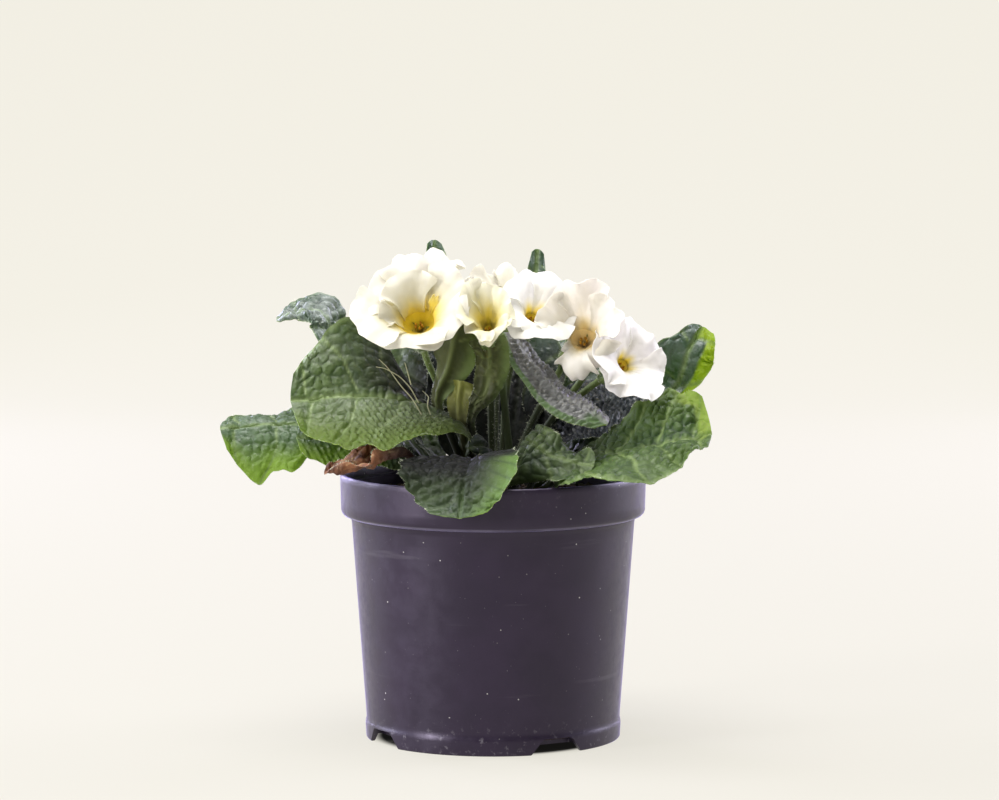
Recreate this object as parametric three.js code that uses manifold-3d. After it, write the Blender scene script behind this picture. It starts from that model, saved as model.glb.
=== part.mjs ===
// A potted primrose: a rosette of quilted leaves and a dome of single flowers, in a round nursery pot.
// Millimetres, +Z up. The dimensions count from the middle of the pot's foot, and the plant's face is
// towards -Y.
// Each leaf and each flower stalk is a piece of its own that stands in a plain hole in the soil, and
// each corolla sits with its tube in the socket of its calyx.

import * as THREE from "three";
import { mergeVertices } from "three/addons/utils/BufferGeometryUtils.js";
import Module from "manifold-3d";

const wasm = await Module();
wasm.setup();

// ---- Driving dimensions ---------------------------------------------------------------------------

const CLEARANCE = 0.3; // between two pieces that touch on the real plant

const POT = {
  height: 91,
  sides: 32,
  rimRadius: 52.5,
  rimHeight: 14.5,
  shoulderRadius: 48.7, // outside of the wall just under the rim
  footRadius: 43.6,
  footHeight: 6.5,
  wall: 1.3,
  floorTop: 4.2,
  floorThickness: 1.4,
  notchCount: 4, // drain notches in the foot
  notchFirst: -60, // degrees from +X
  notchTop: 9,
  notchBottom: 15,
  notchHeight: 5.2,
  drainRadius: 4,
  drainRing: 22,
  drainCount: 5,
};

const SOIL = {
  level: 83, // height of the soil's surface at the wall
  mound: 2.5, // how much higher it is round the crown of the plant
  crownRadius: 23, // the stalks stand inside this circle
  lump: 0.7, // height of its crumbs
  rings: 3,
  sides: 20,
};

const LEAF = {
  rootDepth: 6, // how deep a leaf stalk stands in the soil
  stalkHalfWidth: 2,
  stalkThickness: 2.6,
  thickness: 0.75,
  bladeStart: 0.16, // share of the midrib where the blade begins to widen
  shoulder: 0.68, // where the blade is widest
  tipShare: 0.24, // width of the blunt tip, as a share of the blade's width
  veinSlant: 0.07, // how far a side vein runs forward on its way out
  quilting: 0.55, // rise and fall of the blade between its side veins
  scallop: 0.035, // in and out of the margin, as a share of the half width
};

const STALK = {
  rootDepth: 7,
  radius: 1.15,
  sides: 5,
  steps: 6,
};

const CALYX = {
  length: 13,
  radius: 3.4,
  socketRadius: 1.95,
  socketDepth: 10,
  toothLength: 3.4,
  below: 1.6, // from the corolla's mouth down to the tips of the teeth
};

const COROLLA = {
  tubeRadius: 1.5,
  tubeLength: 10,
  tubeSides: 6,
  mouthRadius: 2.2,
  mouthHeight: -0.5,
  throatDepth: 4.5,
  thickness: 0.65,
  sinus: 0.5, // share of a petal's length where the petals part
  freed: 0.75, // share of its length where they are quite apart
  overlap: 0.22, // how far each petal's tip reaches past its share of the circle
  tilt: 1, // one edge of a petal is this much higher, and the other lower
  notch: 0.07, // depth of the notch in a petal's tip
  roundness: 0.3, // how far the corners of a petal's tip are cut back
  ruffle: 1.2,
};

// ---- Small helpers --------------------------------------------------------------------------------

const radians = THREE.MathUtils.degToRad;
const smooth = (low, high, x) => THREE.MathUtils.smoothstep(x, low, high);
const polar = (radius, degrees, z) =>
  new THREE.Vector3(radius * Math.cos(radians(degrees)), radius * Math.sin(radians(degrees)), z);

// A closed mesh as a solid, for joining and cutting.
function toSolid(geometry) {
  const bare = new THREE.BufferGeometry().setAttribute("position", geometry.getAttribute("position"));
  if (geometry.index) bare.setIndex(geometry.index);
  const merged = mergeVertices(bare, 1e-3);
  return new wasm.Manifold(
    new wasm.Mesh({
      numProp: 3,
      vertProperties: new Float32Array(merged.attributes.position.array),
      triVerts: new Uint32Array(merged.index.array),
    }),
  );
}

function toGeometry(solid) {
  const mesh = solid.getMesh();
  const positions = new Float32Array(mesh.vertProperties);
  return new THREE.BufferGeometry()
    .setAttribute("position", new THREE.BufferAttribute(positions, 3))
    .setIndex(new THREE.BufferAttribute(new Uint32Array(mesh.triVerts), 1));
}

// A geometry from a list of Vector3 and a list of corner numbers.
function closedGeometry(points, corners) {
  const positions = new Float32Array(points.flatMap((p) => [p.x, p.y, p.z]));
  return new THREE.BufferGeometry()
    .setAttribute("position", new THREE.BufferAttribute(positions, 3))
    .setIndex(corners);
}

// LatheGeometry turns about Y, and here everything turns about Z.
function turned(profile, sides) {
  const points = profile.map(([radius, height]) => new THREE.Vector2(radius, height));
  return new THREE.LatheGeometry(points, sides).rotateX(Math.PI / 2);
}

// ---- Leaf blades -----------------------------------------------------------------------------------

// The midrib of a blade, as frames at even steps. It leaves the soil straight from its buried foot and
// then runs through the points of its rib. Its roll about itself grows through two values.
const RIB_STEPS = 60;

function midrib(blade) {
  const { foot, rib, roll } = blade;
  const curve = new THREE.CatmullRomCurve3([foot, ...rib], false, "catmullrom", 0.5);
  const length = curve.getLength() + LEAF.rootDepth;
  const chord = rib.at(-1).clone().sub(foot);
  const side = new THREE.Vector3(-chord.y, chord.x, 0).normalize();
  const frames = [];
  for (let i = 0; i <= RIB_STEPS; i++) {
    const beyond = (i / RIB_STEPS) * length - LEAF.rootDepth;
    const t = Math.max(0, beyond / (length - LEAF.rootDepth));
    const along = curve.getTangentAt(t);
    const point = curve.getPointAt(t).addScaledVector(along, Math.min(0, beyond));
    const tilt = radians(2 * (1 - t) * t * roll[0] + t * t * roll[1]);
    const level = side.clone().addScaledVector(along, -side.dot(along)).normalize();
    const flat = along.clone().cross(level);
    const across = level.clone().multiplyScalar(Math.cos(tilt)).addScaledVector(flat, Math.sin(tilt));
    const normal = flat.multiplyScalar(Math.cos(tilt)).addScaledVector(level, -Math.sin(tilt));
    frames.push({ point, along, across, normal });
  }
  return frames;
}

function frameAt(frames, u) {
  const place = THREE.MathUtils.clamp(u, 0, 1) * RIB_STEPS;
  const i = Math.min(RIB_STEPS - 1, Math.floor(place));
  const mix = (key) => frames[i][key].clone().lerp(frames[i + 1][key], place - i);
  return { point: mix("point"), across: mix("across").normalize(), normal: mix("normal").normalize() };
}

// A point of the blade's middle sheet and the sheet's normal there. u runs along the midrib and v from
// -1 to 1 across. Each half leaves the midrib at the fold angle and bends on by its curl, the more so
// the nearer the margin.
const CURL_STEPS = 12;

function sheetAt(blade, frames, u, v) {
  const { point, across, normal } = frameAt(frames, u);
  const open = smooth(blade.bladeStart, blade.bladeStart + 0.35, u);
  const fold = radians(blade.fold) * open;
  const curl = radians(v >= 0 ? blade.curl[0] : blade.curl[1]) * open;
  const step = (Math.abs(v) * blade.halfWidth(u)) / CURL_STEPS;
  const hand = Math.sign(v);
  let angle = fold;
  for (let k = 0; k < CURL_STEPS; k++) {
    angle = fold + curl * (((k + 0.5) / CURL_STEPS) * Math.abs(v)) ** 2;
    point.addScaledVector(across, hand * step * Math.cos(angle));
    point.addScaledVector(normal, step * Math.sin(angle));
  }
  const facing = normal.multiplyScalar(Math.cos(angle)).addScaledVector(across, -hand * Math.sin(angle));
  return { point, normal: facing };
}

// A blade as a closed solid: the same grid of triangles on both faces, joined round its edge.
function bladeGeometry(blade, rows, columns) {
  const frames = midrib(blade);
  const top = [];
  const bottom = [];
  for (const row of rows)
    for (const v of columns) {
      const reach = v * blade.breadth(row, v);
      const { point, normal } = sheetAt(blade, frames, blade.warp(row, v), reach);
      point.addScaledVector(normal, blade.relief(row, v));
      top.push(point.clone().addScaledVector(normal, LEAF.thickness / 2));
      bottom.push(point.clone().addScaledVector(normal, -LEAF.thickness / 2 - blade.keel(row, v)));
    }
  const wide = columns.length;
  const long = rows.length;
  const under = top.length;
  const corners = [];
  const quad = (a, b, c, d) => corners.push(a, b, c, a, c, d);
  for (let i = 0; i + 1 < long; i++)
    for (let j = 0; j + 1 < wide; j++) {
      const a = i * wide + j;
      const [b, c, d] = [a + wide, a + wide + 1, a + 1];
      if (columns[j] + columns[j + 1] < 0) {
        quad(a, b, c, d);
        quad(under + c, under + b, under + a, under + d);
      } else {
        quad(b, c, d, a);
        quad(under + d, under + c, under + b, under + a);
      }
    }
  for (let i = 0; i + 1 < long; i++) {
    const a = i * wide;
    quad(a, under + a, under + a + wide, a + wide);
    const z = a + wide - 1;
    quad(z + wide, under + z + wide, under + z, z);
  }
  for (let j = 0; j + 1 < wide; j++) {
    const z = (long - 1) * wide + j;
    quad(j + 1, under + j + 1, under + j, j);
    quad(z, under + z, under + z + 1, z + 1);
  }
  return closedGeometry([...top, ...bottom], corners);
}

// ---- Leaves ---------------------------------------------------------------------------------------

const soilHeight = (radius) =>
  SOIL.level + SOIL.mound * (1 - smooth(SOIL.crownRadius, POT.shoulderRadius, radius));

// How wide half the leaf is at a share of its midrib: a winged stalk that widens into a blade, widest
// at the shoulder and round at the tip.
function leafHalfWidth(width, bladeStart, shoulder, u) {
  const stalk = LEAF.stalkHalfWidth * (1 - smooth(bladeStart + 0.1, bladeStart + 0.4, u));
  if (u > shoulder) {
    const beyond = Math.min(1, (u - shoulder) / (1 - shoulder));
    return (width / 2) * Math.max(LEAF.tipShare, Math.sqrt(1 - beyond ** 2.3));
  }
  const t = Math.max(0, (u - bladeStart) / (shoulder - bladeStart));
  return Math.max((width / 2) * Math.sin((Math.PI / 2) * t) ** 1.25, stalk);
}

function leafBlade(spec) {
  const { root, width, bladeStart = LEAF.bladeStart, shoulder = LEAF.shoulder } = spec;
  const { veins = 6, wave = 1.5, phase = 0, fold = 10, curl = [-10, -10], roll = [0, 0] } = spec;
  const onBlade = (row) => smooth(bladeStart, bladeStart + 0.25, row);
  return {
    fold,
    curl,
    roll,
    veins,
    bladeStart,
    foot: polar(...root, soilHeight(root[0])),
    rib: spec.rib.map((place) => new THREE.Vector3(...place)),
    halfWidth: (u) => leafHalfWidth(width, bladeStart, shoulder, u),
    breadth: (row, v) => 1 + LEAF.scallop * Math.cos(2 * Math.PI * veins * row) * Math.abs(v) ** 3,
    warp: (row, v) => row + LEAF.veinSlant * Math.abs(v) * Math.sin(Math.PI * row) * onBlade(row),
    relief: (row, v) => {
      const out = Math.abs(v);
      const quilt = LEAF.quilting * Math.cos(2 * Math.PI * veins * row) * Math.sin(0.8 * Math.PI * out);
      const ruffle = wave * Math.sin(2 * Math.PI * (2.5 * row + phase + (v < 0 ? 0.35 : 0))) * out ** 3;
      return (quilt + ruffle) * onBlade(row) * (1 - smooth(0.93, 1, row));
    },
    keel: (row, v) => {
      const stalk = LEAF.stalkThickness - LEAF.thickness;
      return v === 0 ? stalk * (1 - 0.85 * smooth(0, 0.9, row)) : 0;
    },
  };
}

const LEAF_COLUMNS = [-1, -0.68, -0.32, 0, 0.32, 0.68, 1];

function leafGeometry(spec) {
  const blade = leafBlade(spec);
  const count = 2 * blade.veins;
  const rows = Array.from({ length: count + 1 }, (_, i) => i / count);
  return bladeGeometry(blade, rows, LEAF_COLUMNS);
}

// root: where the leaf leaves the soil, radius and azimuth. rib: places that its midrib runs through, the
// last one its tip. roll: turn of the blade about its midrib, half way and at the tip. fold: of both
// halves upwards along the midrib. curl: further bend of the left and right half, out to the margin.
const LEAVES = {
  leaf_left_broad: {
    root: [12, 202], rib: [[-20, -14, 112], [-42, -22, 119.5], [-68, -28, 118.5]],
    width: 56, shoulder: 0.6, roll: [-50, -54], fold: 14, curl: [0, 10], phase: 0.1,
  },
  leaf_left_low: {
    root: [18, 186], rib: [[-40, -3, 103], [-67, -6, 108.5], [-93, -10, 107.5]],
    width: 44, roll: [-30, -40], fold: -22, curl: [-15, -10], phase: 0.4, wave: 2.2,
  },
  leaf_left_under: {
    root: [18, 212], rib: [[-28, -19, 99.5], [-48, -24, 105], [-66, -28, 106]],
    width: 28, roll: [-8, -16], fold: -10, phase: 0.4,
  },
  leaf_left_high: {
    root: [12, 169], rib: [[-34, 3, 125], [-55, 8, 144.5], [-75, 12, 142]],
    width: 28, roll: [-20, -30], fold: -6, phase: 0.7,
  },
  leaf_front_broad: {
    root: [18, 261], rib: [[-6, -34, 99], [-9, -54, 97.5], [-11, -64, 83]],
    width: 42, roll: [2, 6], fold: 14, phase: 0.2, wave: 1,
  },
  leaf_front_twisted: {
    root: [18, 289], rib: [[16.5, -28, 107], [25.5, -40.5, 104.5], [35.5, -45.5, 102.5]],
    width: 27, roll: [25, 32], fold: -10, phase: 0.6, wave: 2.6,
  },
  leaf_right_broad: {
    root: [18, 325], rib: [[30, -26, 98], [49, -35, 103], [70, -38, 108]],
    width: 46, shoulder: 0.64, roll: [16, 38], fold: 8, curl: [25, -10], phase: 0.5, wave: 1.5,
  },
  leaf_right_high: {
    root: [12, 3], rib: [[38, 3, 104], [61, 1, 119], [67, 0, 133], [72, 6, 141]],
    width: 24, roll: [70, 80], fold: 6, curl: [0, 130], phase: 0.2,
  },
  leaf_right_dark: {
    root: [12, 336], rib: [[26, -5.5, 110], [41, -7.5, 118.5], [56, -10, 120.5]],
    width: 24, roll: [15, 25], fold: -8, phase: 0.8,
  },
  leaf_arched: {
    root: [12, 304], rib: [[6, -15, 124], [8.5, -20, 135], [16, -29, 128.5], [26, -37, 119], [38, -43, 112]],
    width: 23, bladeStart: 0.45, roll: [0, 6], fold: 4, phase: 0.3,
  },
  leaf_inner_left: {
    root: [12, 236], rib: [[-11, -18, 105], [-15.5, -22, 117], [-17.5, -25.5, 129.5]],
    width: 15, veins: 5, fold: 20, curl: [10, 10], phase: 0.1, wave: 0.8,
  },
  leaf_inner_right: {
    root: [11, 272], rib: [[-1.5, -19, 106], [-1.5, -24, 119], [-1, -27.5, 131]],
    width: 17, veins: 5, fold: 20, curl: [10, 10], phase: 0.6, wave: 0.8,
  },
  leaf_back_tall_left: {
    root: [12, 107], rib: [[-11, 24, 125], [-18, 33, 150], [-21, 40, 169]],
    width: 19, veins: 5, fold: 15, phase: 0.5,
  },
  leaf_back_tall_right: {
    root: [12, 74], rib: [[10, 24, 125], [14, 31, 150], [15.5, 36, 166]],
    width: 15, veins: 5, roll: [20, 40], fold: 15, phase: 0.9,
  },
  leaf_back_a: {
    root: [18, 24], rib: [[36, 17, 100], [58, 27, 107], [78, 35, 99]],
    width: 38, phase: 0.15,
  },
  leaf_back_b: {
    root: [18, 57], rib: [[25, 35, 99], [38, 54, 101], [47, 68, 92]],
    width: 34, veins: 5, phase: 0.35,
  },
  leaf_back_c: {
    root: [19, 91], rib: [[-1, 40, 101], [-2, 60, 104], [-4, 76, 94]],
    width: 38, veins: 5, phase: 0.55,
  },
  leaf_back_d: {
    root: [18, 127], rib: [[-27, 32, 98], [-41, 50, 99], [-51, 63, 92]],
    width: 34, veins: 5, phase: 0.75,
  },
  leaf_back_e: {
    root: [18, 155], rib: [[-34, 19, 102], [-52, 31, 107], [-68, 41, 102]],
    width: 30, phase: 0.95,
  },
  leaf_back_f: {
    root: [12, 38], rib: [[24, 21, 116], [42, 34, 127], [56, 44, 126]],
    width: 32, veins: 5, phase: 0.25,
  },
  leaf_back_g: {
    root: [12, 137], rib: [[-21, 24, 116], [-40, 39, 125], [-52, 49, 124]],
    width: 32, veins: 5, phase: 0.45,
  },
};

const DRY_LEAF = {
  root: [23, 234], rib: [[-29.5, -36, 92.5], [-43, -41.5, 95], [-56, -45, 94.5]],
  width: 12, veins: 5, roll: [-10, -25], fold: 20, curl: [50, 30], phase: 0.2,
};

// ---- Flowers --------------------------------------------------------------------------------------

// at: the middle of the corolla's mouth. face: azimuth and elevation of the way it looks. reach: length
// of its petals. cup: climb of a petal at its claw, twice between, and at its tip. stem: where the stalk
// leaves the soil, radius and azimuth.
const FLOWERS = {
  left_front: {
    at: [-25, -30, 144.5], face: [244, 38], stem: [7, 225],
    reach: 27, petals: 6, cup: [80, 50, 20, -10], spin: 20,
  },
  middle_front: {
    at: [0, -34, 143.5], face: [272, 32], stem: [6, 268],
    reach: 13, petals: 5, cup: [80, 68, 50, 25], spin: 10,
  },
  middle: {
    at: [13, -22, 144.5], face: [292, 36], stem: [4, 310],
    reach: 16, petals: 5, cup: [80, 50, 30, 0], spin: 40,
  },
  right_front: {
    at: [32, -28, 136.5], face: [282, 26], stem: [8, 312],
    reach: 15, petals: 5, cup: [80, 60, 40, 0], spin: 5,
  },
  right: {
    at: [46, -19, 128.5], face: [312, 22], stem: [5, 345],
    reach: 18, petals: 5, cup: [75, 45, 20, 0], spin: 30,
  },
  left_top: {
    at: [-22, 0, 151], face: [230, 74], stem: [4, 190],
    reach: 18, petals: 5, cup: [75, 50, 35, 10], spin: 15,
  },
  top: {
    at: [4, 6, 147], face: [300, 78], stem: [1, 60],
    reach: 17, petals: 5, cup: [75, 50, 35, 10], spin: 50,
  },
  right_top: {
    at: [30, 4, 139], face: [350, 62], stem: [5, 20],
    reach: 16, petals: 5, cup: [75, 50, 35, 5], spin: 0,
  },
  back_left: {
    at: [-31, 31, 141], face: [140, 46], stem: [7, 145],
    reach: 17, petals: 5, cup: [75, 50, 30, 0], spin: 25,
  },
  back: {
    at: [-2, 41, 141], face: [92, 44], stem: [7, 92],
    reach: 16, petals: 5, cup: [75, 50, 30, 0], spin: 60,
  },
  back_right: {
    at: [33, 30, 134], face: [45, 44], stem: [7, 55],
    reach: 17, petals: 5, cup: [75, 50, 30, 0], spin: 35,
  },
};

// The axes of a flower: the way it looks, and two across it.
function flowerAxes(flower) {
  const [azimuth, elevation] = flower.face.map(radians);
  const ahead = new THREE.Vector3(
    Math.cos(elevation) * Math.cos(azimuth),
    Math.cos(elevation) * Math.sin(azimuth),
    Math.sin(elevation),
  );
  const level = new THREE.Vector3(-Math.sin(azimuth), Math.cos(azimuth), 0);
  return { ahead, level, rise: ahead.clone().cross(level) };
}

// A closed body of rings round a flower's axis. Each ring gives a radius and a height for each corner.
function ringedGeometry(flower, sides, rings) {
  const { ahead, level, rise } = flowerAxes(flower);
  const mouth = new THREE.Vector3(...flower.at);
  const place = (radius, height, corner) => {
    const angle = (2 * Math.PI * corner) / sides;
    return mouth
      .clone()
      .addScaledVector(ahead, height)
      .addScaledVector(level, radius * Math.cos(angle))
      .addScaledVector(rise, radius * Math.sin(angle));
  };
  const points = [];
  const corners = [];
  for (const ring of rings) for (let k = 0; k < sides; k++) points.push(place(...ring(k), k));
  const first = points.push(place(0, rings[0](0)[1], 0)) - 1;
  const last = points.push(place(0, rings.at(-1)(0)[1], 0)) - 1;
  for (let k = 0; k < sides; k++) {
    const next = (k + 1) % sides;
    for (let i = 0; i + 1 < rings.length; i++) {
      const [a, b] = [i * sides + k, i * sides + next];
      corners.push(a, b, b + sides, a, b + sides, a + sides);
    }
    const end = (rings.length - 1) * sides;
    corners.push(first, next, k, last, end + k, end + next);
  }
  return closedGeometry(points, corners);
}

function stalkPath(flower) {
  const { ahead } = flowerAxes(flower);
  const [radius, azimuth] = flower.stem;
  const foot = polar(radius, azimuth, soilHeight(radius) - STALK.rootDepth);
  const top = new THREE.Vector3(...flower.at).addScaledVector(ahead, -CALYX.length - CALYX.below + 1.5);
  const span = top.distanceTo(foot);
  const lean = top.clone().sub(foot).normalize().add(new THREE.Vector3(0, 0, 2)).normalize();
  return new THREE.CubicBezierCurve3(
    foot,
    foot.clone().addScaledVector(lean, span * 0.45),
    top.clone().addScaledVector(ahead, -span * 0.3),
    top,
  );
}

function polygon(radius, sides) {
  const angles = Array.from({ length: sides }, (_, k) => (2 * Math.PI * k) / sides);
  return new THREE.Shape(angles.map((a) => new THREE.Vector2(radius * Math.cos(a), radius * Math.sin(a))));
}

// The green part of a flower: its stalk with the ribbed, five-toothed calyx on top.
function stalkGeometry(flower) {
  const stalk = new THREE.ExtrudeGeometry(polygon(STALK.radius, STALK.sides), {
    steps: STALK.steps,
    extrudePath: stalkPath(flower),
    bevelEnabled: false,
  });
  const rib = (k) => (k % 2 ? 0.84 : 1);
  const base = -CALYX.below - CALYX.length;
  const rim = (k) => -CALYX.below - (k % 2 ? CALYX.toothLength : 0);
  const calyx = ringedGeometry(flower, 10, [
    () => [1.2, base],
    (k) => [CALYX.radius * 0.86 * rib(k), base + 2.2],
    (k) => [CALYX.radius * (k % 2 ? 0.95 : 1.06), rim(k)],
    (k) => [CALYX.radius * (k % 2 ? 0.95 : 1.06) - 0.65, rim(k) - 0.1],
    () => [CALYX.socketRadius, -CALYX.below - CALYX.socketDepth],
  ]);
  return toGeometry(toSolid(stalk).add(toSolid(calyx)));
}

// A corolla's limb is one sheet round the mouth of its tube, cut into petals from the sinus outwards.
// A petal's column runs from -1 to 1 across it and its row from 0 at the mouth to 1 at the tip.
const PETAL_COLUMNS = [-1, -0.6, 0, 0.6, 1];
const PETAL_ROWS = [0, COROLLA.sinus, COROLLA.freed, 1];
const CUP_STEPS = 40;

// The curve that a petal's middle follows: its distance from the flower's axis, its height over the
// mouth and its climb, at even steps.
function cupProfile(flower) {
  const places = [];
  let radius = COROLLA.mouthRadius;
  let height = COROLLA.mouthHeight;
  for (let i = 0; i <= CUP_STEPS; i++) {
    const t = i / CUP_STEPS;
    const s = 1 - t;
    const { cup } = flower;
    const climb = radians(
      s ** 3 * cup[0] + 3 * s * s * t * cup[1] + 3 * s * t * t * cup[2] + t ** 3 * cup[3],
    );
    places.push({ radius, height, climb });
    radius += (Math.cos(climb) * flower.reach) / CUP_STEPS;
    height += (Math.sin(climb) * flower.reach) / CUP_STEPS;
  }
  return places;
}

function limbPoint(flower, profile, petal, row, column, side) {
  const { ahead, level, rise } = flowerAxes(flower);
  const free = smooth(COROLLA.sinus, COROLLA.freed, row);
  const cutBack = COROLLA.roundness * Math.abs(column) ** 2.5 + (column === 0 ? COROLLA.notch : 0);
  const reach = row - (Math.max(0, row - COROLLA.sinus) / (1 - COROLLA.sinus)) * cutBack;
  const place = reach * CUP_STEPS;
  const i = Math.min(CUP_STEPS - 1, Math.floor(place));
  const mix = (key) => THREE.MathUtils.lerp(profile[i][key], profile[i + 1][key], place - i);
  const climb = mix("climb");
  const spread = 1 - 0.03 * free + COROLLA.overlap * smooth(COROLLA.freed, 1, row);
  const middle = radians(flower.spin) + (2 * Math.PI * petal) / flower.petals;
  const angle = middle + (column * spread * Math.PI) / flower.petals;
  const beat = 0.6 * column + 0.37 * petal + 0.1 * flower.spin;
  const wave = COROLLA.ruffle * Math.sin(2 * Math.PI * beat) * (1 - column ** 4);
  const lift = free * (COROLLA.tilt * column + wave * row) + (side * COROLLA.thickness) / 2;
  const outwards = level.clone().multiplyScalar(Math.cos(angle)).addScaledVector(rise, Math.sin(angle));
  return new THREE.Vector3(...flower.at)
    .addScaledVector(outwards, mix("radius") - Math.sin(climb) * lift)
    .addScaledVector(ahead, mix("height") + Math.cos(climb) * lift);
}

function limbGeometry(flower) {
  const profile = cupProfile(flower);
  const { ahead } = flowerAxes(flower);
  const points = [];
  const corners = [];
  const wide = PETAL_COLUMNS.length;
  const long = PETAL_ROWS.length;
  const quad = (a, b, c, d) => corners.push(a, b, c, a, c, d);
  const throat = (depth) => new THREE.Vector3(...flower.at).addScaledVector(ahead, -depth);
  const inner = points.push(throat(COROLLA.throatDepth)) - 1;
  const outer = points.push(throat(COROLLA.throatDepth + 1.4)) - 1;
  for (let petal = 0; petal < flower.petals; petal++) {
    const over = points.length;
    const under = over + wide * long;
    for (const side of [1, -1])
      for (const row of PETAL_ROWS)
        for (const column of PETAL_COLUMNS)
          points.push(limbPoint(flower, profile, petal, row, column, side));
    for (let j = 0; j + 1 < wide; j++) {
      corners.push(inner, over + j, over + j + 1, outer, under + j + 1, under + j);
      for (let i = 0; i + 1 < long; i++) {
        const [a, b] = [i * wide + j, (i + 1) * wide + j];
        quad(over + a, over + b, over + b + 1, over + a + 1);
        quad(under + b + 1, under + b, under + a, under + a + 1);
      }
      const tip = (long - 1) * wide + j;
      quad(over + tip, under + tip, under + tip + 1, over + tip + 1);
    }
    for (let i = 1; i + 1 < long; i++) {
      const [left, right] = [i * wide, i * wide + wide - 1];
      quad(over + left, under + left, under + left + wide, over + left + wide);
      quad(over + right + wide, under + right + wide, under + right, over + right);
    }
  }
  return closedGeometry(points, corners);
}

// The corolla, with the tube that stands in the calyx.
function corollaGeometry(flower) {
  const tube = ringedGeometry(flower, COROLLA.tubeSides, [
    () => [COROLLA.tubeRadius, -COROLLA.tubeLength],
    () => [COROLLA.tubeRadius, -3],
  ]);
  return toGeometry(toSolid(limbGeometry(flower)).add(toSolid(tube)));
}

// ---- Pot and soil ---------------------------------------------------------------------------------

const floorBottom = POT.floorTop - POT.floorThickness;

function wallRadius(height) {
  const share = (height - POT.footHeight) / (POT.height - POT.rimHeight - POT.footHeight);
  return POT.footRadius + (POT.shoulderRadius - POT.footRadius) * share;
}

function potGeometry() {
  const { height, rimRadius, rimHeight, wall, footRadius, footHeight, floorTop } = POT;
  const shoulder = height - rimHeight;
  let pot = toSolid(
    turned(
      [
        [0, floorBottom],
        [footRadius - 1.9, floorBottom],
        [footRadius - 1.3, 0],
        [footRadius + 0.1, 0],
        [footRadius + 0.4, footHeight - 0.4],
        [footRadius - 0.1, footHeight],
        [wallRadius(shoulder), shoulder],
        [rimRadius - 1.5, shoulder + 0.3],
        [rimRadius - 0.3, shoulder + 2],
        [rimRadius, height - 1.2],
        [rimRadius - 0.4, height],
        [rimRadius - wall, height],
        [rimRadius - wall - 0.5, shoulder + 2.4],
        [wallRadius(shoulder) - wall, shoulder - 0.5],
        [footRadius - wall - 0.3, floorTop],
        [0, floorTop],
      ],
      POT.sides,
    ),
  );
  const notch = new THREE.Shape([
    new THREE.Vector2(-POT.notchBottom / 2, -1),
    new THREE.Vector2(POT.notchBottom / 2, -1),
    new THREE.Vector2(POT.notchTop / 2, POT.notchHeight),
    new THREE.Vector2(-POT.notchTop / 2, POT.notchHeight),
  ]);
  for (let i = 0; i < POT.notchCount; i++) {
    const cutter = new THREE.ExtrudeGeometry(notch, { depth: 8, bevelEnabled: false })
      .rotateX(Math.PI / 2)
      .translate(0, footRadius + 4, 0)
      .rotateZ(radians(POT.notchFirst - 90 + (360 * i) / POT.notchCount));
    pot = pot.subtract(toSolid(cutter));
  }
  for (let i = 0; i < POT.drainCount; i++) {
    const centre = polar(POT.drainRing, (360 * i) / POT.drainCount, 0);
    const drain = new THREE.CylinderGeometry(POT.drainRadius, POT.drainRadius, 10, 10)
      .rotateX(Math.PI / 2)
      .translate(centre.x, centre.y, POT.floorTop);
    pot = pot.subtract(toSolid(drain));
  }
  return toGeometry(pot);
}

// The hole that a leaf stalk stands in, a straight slot round its root.
function leafSlot(spec) {
  const blade = leafBlade(spec);
  const { point, across, normal, along } = midrib(blade)[0];
  const room = CLEARANCE + 0.05;
  const deep = LEAF.stalkThickness + 2 * room;
  const slot = new THREE.BoxGeometry(2 * (LEAF.stalkHalfWidth + room), deep, LEAF.rootDepth + 6);
  const middle = point
    .clone()
    .addScaledVector(along, LEAF.rootDepth / 2 + 3 - 0.5)
    .addScaledVector(normal, LEAF.thickness / 2 - LEAF.stalkThickness / 2);
  return slot.applyMatrix4(new THREE.Matrix4().makeBasis(across, normal, along).setPosition(middle));
}

function stalkHole(flower) {
  const [low, high] = stalkPath(flower).getSpacedPoints(STALK.steps);
  const along = high.clone().sub(low).normalize();
  const wide = (STALK.radius + CLEARANCE + 0.05) * Math.SQRT2;
  const hole = new THREE.CylinderGeometry(wide, wide, STALK.rootDepth + 4, 4);
  const turn = new THREE.Quaternion().setFromUnitVectors(new THREE.Vector3(0, 1, 0), along);
  const middle = low.clone().addScaledVector(along, STALK.rootDepth / 2 + 2 - 0.5);
  return hole.applyMatrix4(new THREE.Matrix4().makeRotationFromQuaternion(turn).setPosition(middle));
}

function crumb(angle, radius) {
  return (
    Math.sin(3.1 * angle + 0.21 * radius) * Math.cos(0.33 * radius + 2 * Math.sin(2 * angle)) +
    0.5 * Math.sin(7 * angle - 0.5 * radius)
  );
}

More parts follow.
